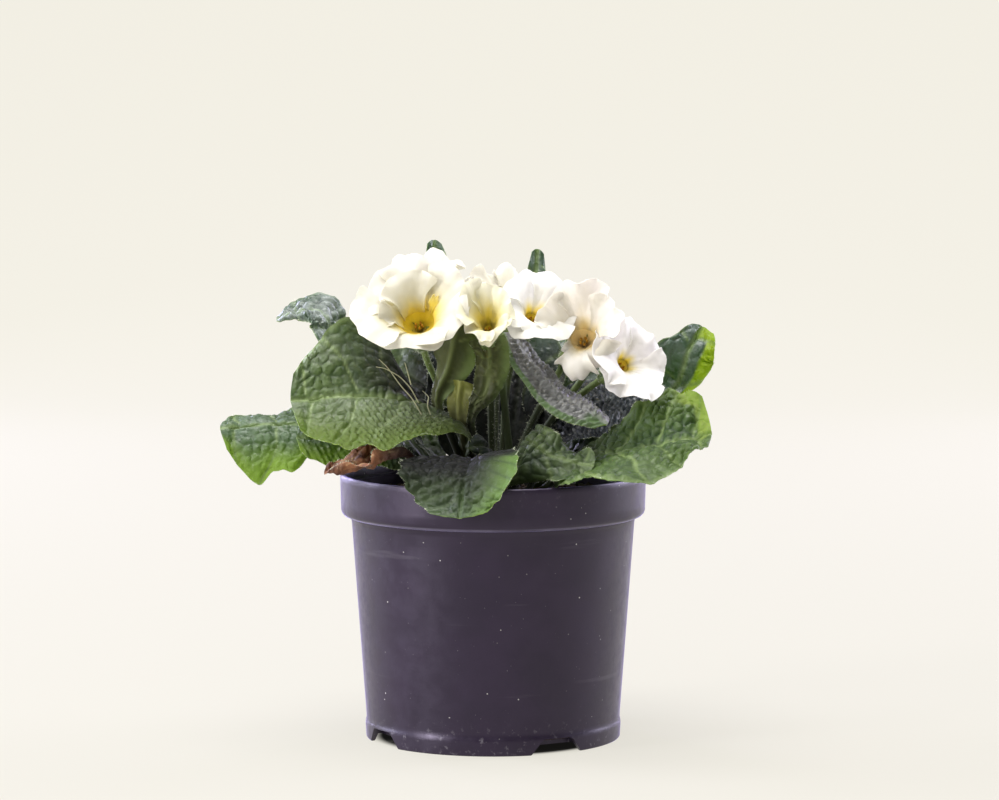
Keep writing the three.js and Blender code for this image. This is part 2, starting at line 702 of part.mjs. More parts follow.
// The root ball: the pot's inside, less its clearance, with a lumpy mound on top.
function soilGeometry() {
  const bottom = POT.floorTop + CLEARANCE;
  const ledge = POT.height - POT.rimHeight;
  const edge = POT.rimRadius - POT.wall - 0.5 - CLEARANCE - 0.3;
  const room = POT.wall + CLEARANCE + 0.3;
  const rings = [
    () => [wallRadius(bottom) - room - 0.2, bottom],
    () => [wallRadius(ledge) - room, ledge - 0.2],
    () => [edge - 0.6, ledge + 3.2],
  ];
  for (let i = 0; i <= SOIL.rings; i++) {
    const radius = THREE.MathUtils.lerp(edge, SOIL.crownRadius, i / SOIL.rings);
    const lump = i < SOIL.rings ? SOIL.lump : 0;
    const height = (k) => soilHeight(radius) + lump * crumb((2 * Math.PI * k) / SOIL.sides, radius);
    rings.push((k) => [radius, height(k)]);
  }
  const upright = { at: [0, 0, 0], face: [0, 90] };
  let soil = toSolid(ringedGeometry(upright, SOIL.sides, rings));
  for (const spec of [...Object.values(LEAVES), DRY_LEAF]) soil = soil.subtract(toSolid(leafSlot(spec)));
  for (const flower of Object.values(FLOWERS)) soil = soil.subtract(toSolid(stalkHole(flower)));
  return toGeometry(soil);
}

// ---- Building the group ---------------------------------------------------------------------------

const finish = (color, roughness) => new THREE.MeshStandardMaterial({ color, roughness, metalness: 0 });
const LEAF_GREEN = finish(0x4a7238, 0.55);
const STALK_GREEN = finish(0x8fa852, 0.6);
const CREAM = finish(0xf4eed2, 0.6);
const DRY_BROWN = finish(0x8a5a33, 0.8);
const POT_PLASTIC = finish(0x3b3442, 0.45);
const PEAT = finish(0x2e241d, 0.95);

function namedMesh(name, geometry, material) {
  const mesh = new THREE.Mesh(geometry, material);
  mesh.name = name;
  return mesh;
}

const primrose = new THREE.Group();
primrose.add(namedMesh("pot", potGeometry(), POT_PLASTIC));
primrose.add(namedMesh("soil", soilGeometry(), PEAT));
for (const [name, spec] of Object.entries(LEAVES))
  primrose.add(namedMesh(name, leafGeometry(spec), LEAF_GREEN));
primrose.add(namedMesh("leaf_dry", leafGeometry(DRY_LEAF), DRY_BROWN));
for (const [place, flower] of Object.entries(FLOWERS)) {
  primrose.add(namedMesh("stalk_" + place, stalkGeometry(flower), STALK_GREEN));
  primrose.add(namedMesh("corolla_" + place, corollaGeometry(flower), CREAM));
}

// The origin goes to the middle of the whole plant's outline, seen from above, at the pot's foot.
const middle = new THREE.Box3().setFromObject(primrose).getCenter(new THREE.Vector3());
primrose.position.set(-middle.x, -middle.y, 0);

export default primrose;
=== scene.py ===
"""Looks of a potted primrose: quilted leaves, cream flowers, a dark nursery pot and its peat.

Sizes are in millimetres from the middle of the pot's foot, as in the solids, and each mesh goes to
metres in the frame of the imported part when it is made.
"""

import logging
import math
from dataclasses import dataclass, field
from enum import Enum
from typing import Sequence

import bpy
import numpy as np
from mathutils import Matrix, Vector


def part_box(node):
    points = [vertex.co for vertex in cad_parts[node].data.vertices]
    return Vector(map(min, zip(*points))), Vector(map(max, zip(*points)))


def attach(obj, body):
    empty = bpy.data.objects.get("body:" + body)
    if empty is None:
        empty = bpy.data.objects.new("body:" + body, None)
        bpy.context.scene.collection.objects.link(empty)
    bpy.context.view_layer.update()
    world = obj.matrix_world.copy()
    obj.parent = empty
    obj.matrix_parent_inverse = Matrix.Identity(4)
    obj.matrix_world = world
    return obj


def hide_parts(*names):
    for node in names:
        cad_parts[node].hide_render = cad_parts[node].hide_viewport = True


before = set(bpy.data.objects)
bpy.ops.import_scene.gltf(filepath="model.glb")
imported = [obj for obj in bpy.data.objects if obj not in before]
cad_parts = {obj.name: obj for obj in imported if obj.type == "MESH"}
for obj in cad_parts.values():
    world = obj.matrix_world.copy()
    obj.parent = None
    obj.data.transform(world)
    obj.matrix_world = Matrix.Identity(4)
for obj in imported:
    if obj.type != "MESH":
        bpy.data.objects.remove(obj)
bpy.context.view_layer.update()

LOG = logging.getLogger("primrose")
MM = 0.001
TURN = 2 * math.pi

Array = np.ndarray
Pair = tuple[float, float]
Colour = tuple[float, float, float]
Point = tuple[float, float, float]
Section = list[Pair]
Widths = tuple[Pair, ...]
Values = dict[str, Array]
Piece = bpy.types.Object
Material = bpy.types.Material
Socket = bpy.types.NodeSocket
Number = float | Socket
Tint = Colour | Socket


class Slot(Enum):
    """Material slots of the record."""

    PLASTIC = "pot_plastic"
    PEAT = "peat"
    LEAF = "leaf_green"
    DRY = "leaf_brown"
    STALK = "stalk_green"
    PETAL = "petal_cream"


class Look(Enum):
    """Finishes, each with the name of its material."""

    LEAF, BROAD, FRESH, LIT = "leaf", "leaf_broad", "leaf_fresh", "leaf_lit"
    SUNNY, PALE, BLUE, SILVER = "leaf_sunny", "leaf_pale", "leaf_blue", "leaf_silver"
    DUSKY, SLATE, WITHERED = "leaf_dusky", "leaf_slate", "withered_leaf"
    UNDER, UNDER_LIT = "underside", "underside_lit"
    UNDER_GOLD, UNDER_OLIVE = "underside_gold", "underside_olive"
    PETAL, FADED, WARM = "petal", "petal_faded", "petal_warm"
    BLUSH, SNOW = "petal_blush", "petal_snow"
    STALK, OLD_STALK, DOWN, POLLEN = "stalk", "old_stalk", "down", "pollen"
    PLASTIC, PEAT = "pot_plastic", "peat"


class Side(Enum):
    """Half of a blade, as the sign of the places across it."""

    RIGHT = -1
    BOTH = 0
    LEFT = 1


Finishes = dict[Look, Material]
Part = tuple[Side, float, float]


# ---- Small mathematics ----


def smooth(low: float, high: float, x: Array | float) -> Array:
    """Ease from 0 at the low end of a range to 1 at its high end."""
    t = np.clip((np.asarray(x, float) - low) / (high - low), 0, 1)
    return t * t * (3 - 2 * t)


def unit(vectors: Array) -> Array:
    """Vectors scaled to length one along their last axis."""
    return vectors / np.maximum(np.linalg.norm(vectors, axis=-1, keepdims=True), 1e-9)


def polar(radius: float, degrees: float, height: float) -> Array:
    """A point from its distance and azimuth about the pot's axis, and its height."""
    angle = math.radians(degrees)
    return np.array([radius * math.cos(angle), radius * math.sin(angle), height])


def name_seed(name: str) -> int:
    """The seed that belongs to a name."""
    return sum(ord(c) * (i + 3) for i, c in enumerate(name))


def value_noise(x: Array, y: Array, z: Array | float, seed: int) -> Array:
    """Soft noise from -1 to 1, with features one unit wide.

    Args:
        x: First coordinates.
        y: Second coordinates, of the same shape.
        z: Third coordinate.
        seed: Number that picks the pattern.

    Returns:
        Noise of the same shape as x.
    """
    period = 32
    table = np.random.default_rng(seed).random((period, period, period)) * 2 - 1
    x, y, z = np.broadcast_arrays(np.asarray(x, float), np.asarray(y, float), np.asarray(z, float))
    base = [np.floor(a).astype(int) for a in (x, y, z)]
    part = [a - b for a, b in zip((x, y, z), base)]
    part = [t * t * (3 - 2 * t) for t in part]
    total = np.zeros(x.shape)
    for corner in np.ndindex(2, 2, 2):
        weight = np.ones(x.shape)
        for bit, t in zip(corner, part):
            weight = weight * (t if bit else 1 - t)
        i, j, k = ((b + bit) % period for b, bit in zip(base, corner))
        total += weight * table[i, j, k]
    return total


def cell_net(x: Array, y: Array, seed: int) -> Array:
    """Distance from the border in a net of irregular cells one unit wide.

    Args:
        x: First coordinates.
        y: Second coordinates, of the same shape.
        seed: Number that picks the pattern.

    Returns:
        0 on a border and about 1 in the middle of a cell.
    """
    period = 64
    jitter = np.random.default_rng(seed).random((period, period, 2)) * 0.84 + 0.08
    xi, yi = np.floor(x).astype(int), np.floor(y).astype(int)
    near = np.full(x.shape, 9.0)
    second = np.full(x.shape, 9.0)
    for dx in (-1, 0, 1):
        for dy in (-1, 0, 1):
            spot = jitter[(xi + dx) % period, (yi + dy) % period]
            gap = np.hypot(xi + dx + spot[..., 0] - x, yi + dy + spot[..., 1] - y)
            second = np.minimum(second, np.maximum(near, gap))
            near = np.minimum(near, gap)
    return second - near


def turned(profile: Array, sides: int) -> Array:
    """Rings of a body turned about the pot's axis.

    Args:
        profile: Radius and height of each ring.
        sides: Corners of a ring.

    Returns:
        Array of rings by corners by 3.
    """
    angle = np.linspace(0, TURN, sides, endpoint=False)
    rings = np.zeros((len(profile), sides, 3))
    rings[..., 0] = profile[:, :1] * np.cos(angle)
    rings[..., 1] = profile[:, :1] * np.sin(angle)
    rings[..., 2] = profile[:, 1:]
    return rings


def swept(line: Array, radius: Array, sides: int, off: Point) -> Array:
    """Rings of a tube along a line.

    Args:
        line: Points of its middle line.
        radius: Array of rings by corners.
        sides: Corners of a ring.
        off: Direction that the line never takes.

    Returns:
        Array of rings by corners by 3.
    """
    along = unit(np.gradient(line, axis=0))
    first = unit(np.cross(along, np.array(off)))
    second = np.cross(along, first)
    angle = np.linspace(0, TURN, sides, endpoint=False)
    return line[:, None] + radius[..., None] * (
        first[:, None] * np.cos(angle)[None, :, None] + second[:, None] * np.sin(angle)[None, :, None]
    )


# ---- Meshes ----


def pot_axis() -> Pair:
    """Where the pot's axis stands in the frame, in metres."""
    low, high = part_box("pot")
    return (low.x + high.x) / 2, (low.y + high.y) / 2


SHIFT = pot_axis()


def placed(name: str, data: bpy.types.ID) -> Piece:
    """Put a mesh, a light or a camera into the scene.

    Args:
        name: Name of the object.
        data: What it shows.

    Returns:
        The new object.
    """
    made = bpy.data.objects.new(name, data)
    bpy.context.scene.collection.objects.link(made)
    return made


class Surface:
    """Points, faces and values that grow piece by piece into one mesh."""

    def __init__(self) -> None:
        """Start with no points."""
        self.points: list[Array] = []
        self.faces: list[list[int]] = []
        self.finishes: list[int] = []
        self.values: dict[str, list[Array]] = {}
        self.count = 0

    def join(self, faces: Array, start: int, finish: int) -> None:
        """Add faces on the points from the one numbered start on."""
        self.faces.extend((np.asarray(faces) + start).tolist())
        self.finishes.extend([finish] * len(faces))

    def add(self, points: Array, faces: Array, finish: int, values: Values) -> None:
        """Add points with the faces that join them.

        Args:
            points: Array of n by 3, in millimetres.
            faces: Corner numbers, three or four to a face, counted from these points.
            finish: Number of the finish.
            values: Named numbers for each point.
        """
        size = len(points)
        self.points.append(np.asarray(points, float))
        self.join(faces, self.count, finish)
        for name in dict.fromkeys([*self.values, *values]):
            known = self.values.setdefault(name, [np.zeros(self.count)] if self.count else [])
            known.append(np.asarray(values.get(name, np.zeros(size)), float).reshape(-1))
        self.count += size

    def shell(self, top: Array, bottom: Array, finishes: Sequence[int], values: Values) -> None:
        """Add a closed shell from two grids of points that lie over each other.

        Args:
            top: Array of rows by columns by 3.
            bottom: The same for the other face.
            finishes: Finish of the top, bottom and rim.
            values: Named numbers for each point of a grid.
        """
        rows, columns = top.shape[:2]
        size = rows * columns
        i, j = np.meshgrid(np.arange(rows - 1), np.arange(columns - 1), indexing="ij")
        corner = (i * columns + j).reshape(-1)
        over = np.stack([corner, corner + columns, corner + columns + 1, corner + 1], 1)
        under = over[:, ::-1] + size
        left = np.arange(rows - 1) * columns
        right = left + columns - 1
        first = np.arange(columns - 1)
        last = (rows - 1) * columns + first
        edges = ((left, left + columns), (right + columns, right), (first + 1, first), (last, last + 1))
        rim = np.concatenate([np.stack([a, a + size, b + size, b], 1) for a, b in edges])
        points = np.concatenate([top.reshape(-1, 3), bottom.reshape(-1, 3)])
        both = {name: np.tile(np.asarray(v, float).reshape(-1), 2) for name, v in values.items()}
        self.add(points, over, finishes[0], both)
        for faces, finish in ((under, finishes[1]), (rim, finishes[2])):
            self.join(faces, self.count - 2 * size, finish)

    def rings(self, rings: Array, finish: int, values: Values) -> None:
        """Add a closed body of rings, with a flat cap at both ends.

        Args:
            rings: Array of rings by corners by 3, anticlockwise seen from the last ring.
            finish: Number of the finish.
            values: Named numbers for each point.
        """
        count, sides = rings.shape[:2]
        i, j = np.meshgrid(np.arange(count - 1), np.arange(sides), indexing="ij")
        corner = (i * sides + j).reshape(-1)
        beside = (i * sides + (j + 1) % sides).reshape(-1)
        walls = np.stack([corner, beside, beside + sides, corner + sides], 1)
        points = np.concatenate([rings.reshape(-1, 3), [rings[0].mean(0)], [rings[-1].mean(0)]])
        ends = {}
        for name, v in values.items():
            v = np.asarray(v, float).reshape(count, sides)
            ends[name] = np.concatenate([v.reshape(-1), [v[0].mean()], [v[-1].mean()]])
        self.add(points, walls, finish, ends)
        k = np.arange(sides)
        after = (k + 1) % sides
        middle = np.full(sides, count * sides)
        end = (count - 1) * sides
        for faces in (np.stack([middle, after, k], 1), np.stack([middle + 1, end + k, end + after], 1)):
            self.join(faces, self.count - len(points), finish)

    def hairs(
        self, roots: Array, lean: Array, length: float, thick: float, finish: int,
        rng: np.random.Generator,
    ) -> None:
        """Add fine tapering hairs.

        Args:
            roots: Where each stands.
            lean: Which way each points.
            length: Usual length.
            thick: Half the thickness at the root.
            finish: Number of the finish.
            rng: Source of the draws.
        """
        count = len(roots)
        across = unit(np.cross(lean, rng.normal(0, 1, (count, 3))))
        third = np.cross(lean, across)
        size = length * rng.uniform(0.5, 1.2, count)[:, None]
        buried = 0.2
        corners = []
        for k in range(3):
            angle = TURN * k / 3
            spoke = across * math.cos(angle) + third * math.sin(angle)
            corners.append(roots - lean * buried + thick * spoke)
        points = np.stack([*corners, roots + lean * size], 1).reshape(-1, 3)
        faces = np.array([[0, 2, 1], [0, 1, 3], [1, 2, 3], [2, 0, 3]])
        every = (np.arange(count)[:, None, None] * 4 + faces[None]).reshape(-1, 3)
        self.add(points, every, finish, {})

    def mesh(self, name: str) -> bpy.types.Mesh:
        """Make a mesh of the points and faces, in metres in the part's frame.

        Args:
            name: Name of the mesh.

        Returns:
            The mesh.
        """
        mesh = bpy.data.meshes.new(name)
        points = np.concatenate(self.points) * MM + np.array([*SHIFT, 0.0])
        mesh.from_pydata(points.tolist(), [], self.faces)
        return mesh

    def piece(
        self, name: str, materials: Sequence[Material], nodes: Sequence[str], slot: Slot, crease: float = 50
    ) -> Piece:
        """Make the mesh object, let it ride on the part and stand for its nodes.

        Args:
            name: Name of the piece.
            materials: Finishes in the order of their numbers.
            nodes: Nodes that it stands for.
            slot: Material slot of the record; not used.
            crease: Degrees past which an edge stays sharp.

        Returns:
            The new object.
        """
        mesh = self.mesh(name)
        for material in materials:
            mesh.materials.append(material)
        mesh.polygons.foreach_set("material_index", np.array(self.finishes, np.int32))
        for key, parts in self.values.items():
            attribute = mesh.attributes.new(key, "FLOAT", "POINT")
            attribute.data.foreach_set("value", np.concatenate(parts).astype(np.float32))
        mesh.shade_smooth()
        mesh.set_sharp_from_angle(angle=math.radians(crease))
        mesh.validate()
        piece = placed(name, mesh)
        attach(piece, "root")
        if nodes:
            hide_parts(*nodes)
        LOG.info("%s: %d points, %d faces", name, self.count, len(self.faces))
        return piece


# ---- Finishes ----


class Paint:
    """A material's node tree with short ways to add to it."""

    # Near-black that painted shade mixes towards.
    shade: Colour = (0.007, 0.006, 0.008)
    crown_height: float = 0.088

    def __init__(self, name: str) -> None:
        """Start an empty tree.

        Args:
            name: Name of the material.
        """
        self.material = bpy.data.materials.new(name)
        self.material.use_nodes = True
        self.tree = self.material.node_tree
        self.tree.nodes.clear()
        self.place = self.node("ShaderNodeTexCoord").outputs["Object"]

    def node(self, kind: str, inputs: dict | None = None, **settings: str | bool) -> bpy.types.Node:
        """Add a node.

        Args:
            kind: Type of the node.
            inputs: Names or numbers of its inputs, with a value, a socket or None for each.
            **settings: Properties of the node.

        Returns:
            The node.
        """
        node = self.tree.nodes.new(kind)
        for key, value in settings.items():
            setattr(node, key, value)
        for key, value in (inputs or {}).items():
            socket = node.inputs[key]
            if isinstance(value, Socket):
                self.tree.links.new(value, socket)
            elif value is not None:
                socket.default_value = (*value, 1) if socket.type == "RGBA" else value
        return node

    def value(self, name: str) -> Socket:
        """The numbers of that name that the mesh carries."""
        return self.node("ShaderNodeAttribute", attribute_name=name).outputs["Fac"]

    def noise(self, size: float, detail: float = 3, rough: float = 0.55) -> Socket:
        """Noise with features of about that size in millimetres, from 0 to 1."""
        inputs = {"Vector": self.place, "Scale": 1000 / size, "Detail": detail, "Roughness": rough}
        return self.node("ShaderNodeTexNoise", inputs).outputs["Fac"]

    def cells(self, size: float, feature: str = "F1") -> Socket:
        """Distance in a net of cells of about that size in millimetres."""
        inputs = {"Vector": self.place, "Scale": 1000 / size}
        return self.node("ShaderNodeTexVoronoi", inputs, feature=feature).outputs["Distance"]

    def maths(self, operation: str, a: Number, b: Number = 0.0) -> Socket:
        """The result of a sum on two numbers or sockets."""
        return self.node("ShaderNodeMath", {0: a, 1: b}, operation=operation).outputs[0]

    def times(self, a: Number, b: Number) -> Socket:
        """The product of two numbers or sockets."""
        return self.maths("MULTIPLY", a, b)

    def vector(self, operation: str, a: Socket, b: Point = (0.0, 0.0, 0.0)) -> bpy.types.Node:
        """The node of a sum on a vector."""
        return self.node("ShaderNodeVectorMath", {0: a, 1: b}, operation=operation)

    def span(self, value: Socket, low: float, high: float, to_low: float = 0, to_high: float = 1) -> Socket:
        """A value moved from one range to another and kept inside it, with soft ends."""
        inputs = {"Value": value, "From Min": low, "From Max": high, "To Min": to_low, "To Max": to_high}
        return self.node("ShaderNodeMapRange", inputs, interpolation_type="SMOOTHSTEP").outputs["Result"]

    def mix(self, share: Number, a: Tint, b: Tint) -> Socket:
        """Two colours mixed, with a share of the second."""
        return self.node("ShaderNodeMix", {0: share, 6: a, 7: b}, data_type="RGBA").outputs[2]

    def layered(self, colour: Tint, *layers: tuple[Number, Tint]) -> Socket:
        """A colour with others laid over it.

        Args:
            colour: The ground.
            *layers: Share and colour of each layer.

        Returns:
            The colour of them all.
        """
        for share, tint in layers:
            colour = self.mix(share, colour, tint)
        return colour

    def bump(self, height: Socket, distance: float, strength: float, under: Socket | None = None) -> Socket:
        """A normal that follows a height, whose 1 stands for a distance in millimetres."""
        inputs = {"Height": height, "Distance": distance * MM, "Strength": strength, "Normal": under}
        return self.node("ShaderNodeBump", inputs).outputs["Normal"]

    def depth(self) -> Socket:
        """Share of painted shade: deep in the crown of the plant, and over each blade's dusky.

        Returns:
            The share of painted shade, from 0 to 1.
        """
        centre = self.vector("SUBTRACT", self.place, (*SHIFT, self.crown_height))
        flat = self.vector("MULTIPLY", centre.outputs[0], (1.0, 1.0, 1.1))
        far = self.vector("LENGTH", flat.outputs[0]).outputs["Value"]
        share = self.maths("MAXIMUM", self.span(far, 0.06, 0.028, 0.0, 0.88), self.value("dusk"))
        return self.times(share, 0.93)

    def shaded(self, colour: Tint, share: Number) -> Socket:
        """A colour darkened towards near-black by a share of painted shade."""
        return self.mix(share, colour, self.shade)

    def shader(self, **inputs: Number | Tint) -> Socket:
        """A principled shader, with underscores for the spaces in its inputs' names."""
        named = {key.replace("_", " "): value for key, value in inputs.items()}
        return self.node("ShaderNodeBsdfPrincipled", named).outputs["BSDF"]

    def glow_through(self, shader: Socket, colour: Tint, share: Number, normal: Socket) -> Socket:
        """A shader, a share of which lets light of a colour through from behind."""
        through = self.node("ShaderNodeBsdfTranslucent", {"Color": colour, "Normal": normal}).outputs[0]
        return self.node("ShaderNodeMixShader", {0: share, 1: shader, 2: through}).outputs[0]

    def done(self, shader: Socket) -> Material:
        """Close the tree and give its material."""
        self.node("ShaderNodeOutputMaterial", {"Surface": shader})
        return self.material


@dataclass(frozen=True)
class LeafFinish:
    """Upper face of a leaf: dark green panes, paler veins, a waxy gloss, and painted sheen, light and shade.
    """

    look: Look
    dark: Colour = (0.018, 0.038, 0.016)
    light: Colour = (0.07, 0.108, 0.03)
    vein: Colour = (0.15, 0.21, 0.075)
    crease_shade: Colour = (0.005, 0.013, 0.005)
    glow: Colour = (0.2, 0.4, 0.035)
    painted_sheen: Colour = (0.10, 0.13, 0.13)
    painted_sheen_share: float = 0.06
    shine: Colour = (0.28, 0.37, 0.01)
    through: float = 0.16
    gloss: float = 0.42
    wax: float = 0.42

    def make(self) -> Material:
        """Build the material.

        Returns:
            The material.
        """
        paint = Paint(self.look.value)
        rib, shine = paint.value("rib"), paint.value("shine")
        # Painted shade deep in the crown darkens the face, the light through it and its gloss.
        deep = paint.depth()
        colour = self.colour(paint, rib, shine)
        normal = paint.bump(paint.times(paint.cells(0.9), -1.0), 0.12, 0.55)
        mesh = paint.span(paint.cells(2.2, "DISTANCE_TO_EDGE"), 0.0, 0.3)
        normal = paint.bump(mesh, 0.14, 0.6, normal)
        normal = paint.bump(paint.noise(2.2, 4), 0.1, 0.5, normal)
        rough = paint.span(paint.noise(3.5, 3), 0.3, 0.75, self.gloss - 0.1, self.gloss + 0.16)
        waxy = paint.times(paint.span(deep, 0.0, 1.0, self.wax, 0.1), paint.span(shine, 0.0, 1.0, 1.0, 0.4))
        face = paint.shader(
            Base_Color=paint.shaded(colour, deep), Roughness=rough, Normal=normal, Specular_IOR_Level=waxy,
            Sheen_Weight=0.08, Sheen_Roughness=0.4,
        )
        light = paint.shaded(paint.mix(paint.times(rib, 0.5), self.glow, self.vein), deep)
        share = paint.maths("ADD", paint.times(shine, 0.3), self.through)
        return paint.done(paint.glow_through(face, light, share, normal))

    def colour(self, paint: Paint, rib: Socket, shine: Socket) -> Socket:
        """The colour of the face, before the crown's shade.

        Args:
            paint: Tree that it joins.
            rib: Strength of the veins.
            shine: Strength of the light in the margin.

        Returns:
            The colour.
        """
        net, edge = paint.value("net"), paint.value("edge")
        return paint.layered(
            paint.mix(paint.span(paint.noise(14, 3), 0.35, 0.68), self.dark, self.light),
            # Painted light and shade on the puckers: lighter pane middles, near-black creases between them.
            (paint.span(net, 0.05, 0.5, 0, 0.5), self.light),
            (paint.span(net, 0.22, 0.02, 0, 0.6), self.crease_shade),
            (paint.span(paint.noise(1.3, 4), 0.42, 0.75, 0, 0.22), self.dark),
            # Painted sheen: grey-blue patches that stand in for the gloss of the lamps and the backdrop.
            (paint.span(paint.noise(9, 2), 0.3, 0.8, 0, self.painted_sheen_share), self.painted_sheen),
            (paint.span(paint.noise(30, 2), 0.35, 0.65, 0, 0.45), self.light),
            (paint.span(edge, 0.5, 1.0, 0, 0.4), self.light),
            (paint.span(edge, 0.9, 1.0, 0, 0.5), self.vein),
            # Painted light: the lime glow of light through the lit margin, laid into the colour besides the
            # translucency.
            (paint.times(shine, 0.9), self.shine),
            (paint.times(rib, 0.8), self.vein),
        )


@dataclass(frozen=True)
class UndersideFinish:
    """Lower face of a leaf: pale, matt and downy, with raised veins."""

    look: Look
    pale: Colour = (0.14, 0.24, 0.06)
    deep: Colour = (0.075, 0.15, 0.035)
    vein: Colour = (0.3, 0.4, 0.14)
    shine: Colour = (0.34, 0.44, 0.07)
    glow: Colour = (0.42, 0.6, 0.05)
    through: float = 0.3
    wax: float = 0.3

    def make(self) -> Material:
        """Build the material.

        Returns:
            The material.
        """
        paint = Paint(self.look.value)
        rib = paint.value("rib")
        colour = paint.layered(
            paint.mix(paint.span(paint.noise(11, 3), 0.35, 0.7), self.deep, self.pale),
            (paint.span(paint.value("net"), 0.2, 0.0, 0, 0.5), self.vein),
            # Painted light: the glow of light through the lit margin, laid into the colour besides the
            # translucency.
            (paint.times(paint.value("shine"), 0.8), self.shine),
            (paint.times(rib, 0.85), self.vein),
        )
        normal = paint.bump(paint.noise(0.7, 3), 0.1, 0.5)
        normal = paint.bump(paint.cells(1.1), 0.12, 0.4, normal)
        rough = paint.span(paint.noise(4, 2), 0.3, 0.7, 0.52, 0.7)
        # Painted shade deep in the crown darkens the face and the light through it.
        deep = paint.depth()
        face = paint.shader(
            Base_Color=paint.shaded(colour, deep), Roughness=rough, Normal=normal, Sheen_Weight=0.08,
            Specular_IOR_Level=self.wax, Sheen_Roughness=0.5,
        )
        light = paint.shaded(paint.mix(paint.times(rib, 0.4), self.glow, self.vein), deep)
        return paint.done(paint.glow_through(face, light, self.through, normal))


@dataclass(frozen=True)
class DryFinish:
    """A withered leaf: orange-brown, papery and curled."""

    look: Look = Look.WITHERED
    dark: Colour = (0.06, 0.022, 0.016)
    tan: Colour = (0.31, 0.13, 0.062)
    straw: Colour = (0.62, 0.4, 0.2)
    crease_shade: Colour = (0.05, 0.02, 0.01)
    glow: Colour = (0.5, 0.2, 0.05)
    through: float = 0.12

    def make(self) -> Material:
        """Build the material.

        Returns:
            The material.
        """
        paint = Paint(self.look.value)
        colour = paint.layered(
            paint.mix(paint.span(paint.noise(6, 5, 0.65), 0.32, 0.7), self.dark, self.tan),
            (paint.span(paint.noise(2.4, 4), 0.5, 0.8), self.straw),
            # Painted shade: near-black in the creases of the net and over the leaf's dusky.
            (paint.span(paint.value("net"), 0.14, 0.0, 0, 0.5), self.crease_shade),
            (paint.times(paint.value("dusk"), 0.9), paint.shade),
        )
        normal = paint.bump(paint.noise(1.2, 5, 0.7), 0.4, 0.8)
        rough = paint.span(paint.noise(3, 3), 0.3, 0.7, 0.45, 0.8)
        face = paint.shader(Base_Color=colour, Roughness=rough, Normal=normal, Specular_IOR_Level=0.4)
        return paint.done(paint.glow_through(face, self.glow, self.through, normal))


@dataclass(frozen=True)
class PetalFinish:
    """A petal: cream-white with a golden eye, faint veins and a thin edge that light comes through."""

    look: Look
    cream: Colour = (0.57, 0.545, 0.42)
    white: Colour = (0.65, 0.635, 0.58)
    yellow: Colour = (0.88, 0.74, 0.14)
    gold: Colour = (0.52, 0.37, 0.012)
    deep: Colour = (0.15, 0.11, 0.008)
    through: float = 0.38
    glow: Colour = (0.98, 0.95, 0.82)

    def make(self) -> Material:
        """Build the material.

        Returns:
            The material.
        """
        paint = Paint(self.look.value)
        along, across = paint.value("along"), paint.value("across")
        ragged = paint.times(paint.maths("SUBTRACT", paint.noise(2.6, 4, 0.6), 0.5), 0.22)
        flame = paint.times(paint.maths("ABSOLUTE", across), 0.14)
        reach = paint.maths("ADD", paint.maths("ADD", along, ragged), flame)
        reach = paint.maths("DIVIDE", reach, paint.maths("MAXIMUM", paint.value("eye"), 0.05))
        drawn = paint.node("ShaderNodeCombineXYZ", {"X": paint.times(across, 14.0), "Y": along}).outputs[0]
        inputs = {"Vector": drawn, "Scale": 1.6, "Detail": 3.0}
        lines = paint.node("ShaderNodeTexNoise", inputs).outputs["Fac"]
        colour = paint.layered(
            paint.mix(paint.span(paint.noise(8, 3), 0.3, 0.7), self.cream, self.white),
            (paint.span(along, 0.5, 1.0, 0, 0.8), self.white),
            (paint.span(reach, 1.9, 0.7, 0, 0.6), self.yellow),
            (paint.span(reach, 1.0, 0.5), self.yellow),
            (paint.span(reach, 0.6, 0.25), self.gold),
            # Painted shade: darker olive-brown deep in the tube.
            (paint.span(along, 0.105, 0.0), self.deep),
            (paint.span(lines, 0.5, 0.72, 0, 0.16), self.cream),
        )
        normal = paint.bump(lines, 0.25, 0.35)
        normal = paint.bump(paint.noise(1.6, 4, 0.6), 0.16, 0.35, normal)
        rough = paint.span(paint.noise(3, 2), 0.3, 0.7, 0.45, 0.62)
        face = paint.shader(
            Base_Color=colour, Roughness=rough, Normal=normal, Specular_IOR_Level=0.3, Sheen_Weight=0.15,
            Sheen_Roughness=0.5,
        )
        light = paint.mix(paint.span(reach, 1.4, 0.5), self.glow, self.yellow)
        return paint.done(paint.glow_through(face, light, self.through, normal))


@dataclass(frozen=True)
class StalkFinish:
    """Downy pale green of stalks and calyces, deeper between the ribs."""

    look: Look = Look.STALK
    pale: Colour = (0.2, 0.27, 0.08)
    deep: Colour = (0.05, 0.09, 0.022)
    glow: Colour = (0.34, 0.44, 0.08)
    through: float = 0.16

    def make(self) -> Material:
        """Build the material.

        Returns:
            The material.
        """
        paint = Paint(self.look.value)
        ridge = paint.value("rib")
        colour = paint.mix(paint.span(paint.noise(5, 3), 0.3, 0.7), self.deep, self.pale)
        colour = paint.mix(paint.times(ridge, 0.7), colour, self.pale)
        normal = paint.bump(paint.noise(0.6, 3), 0.12, 0.6)
        rough = paint.span(paint.noise(2.5, 2), 0.3, 0.7, 0.42, 0.6)
        # Painted shade deep in the crown darkens the stalk and the light through it.
        deep = paint.depth()
        face = paint.shader(
            Base_Color=paint.shaded(colour, deep), Roughness=rough, Normal=normal, Specular_IOR_Level=0.35,
            Sheen_Weight=0.12, Sheen_Roughness=0.4,
        )
        light = paint.shaded(paint.mix(ridge, self.deep, self.glow), deep)
        return paint.done(paint.glow_through(face, light, self.through, normal))


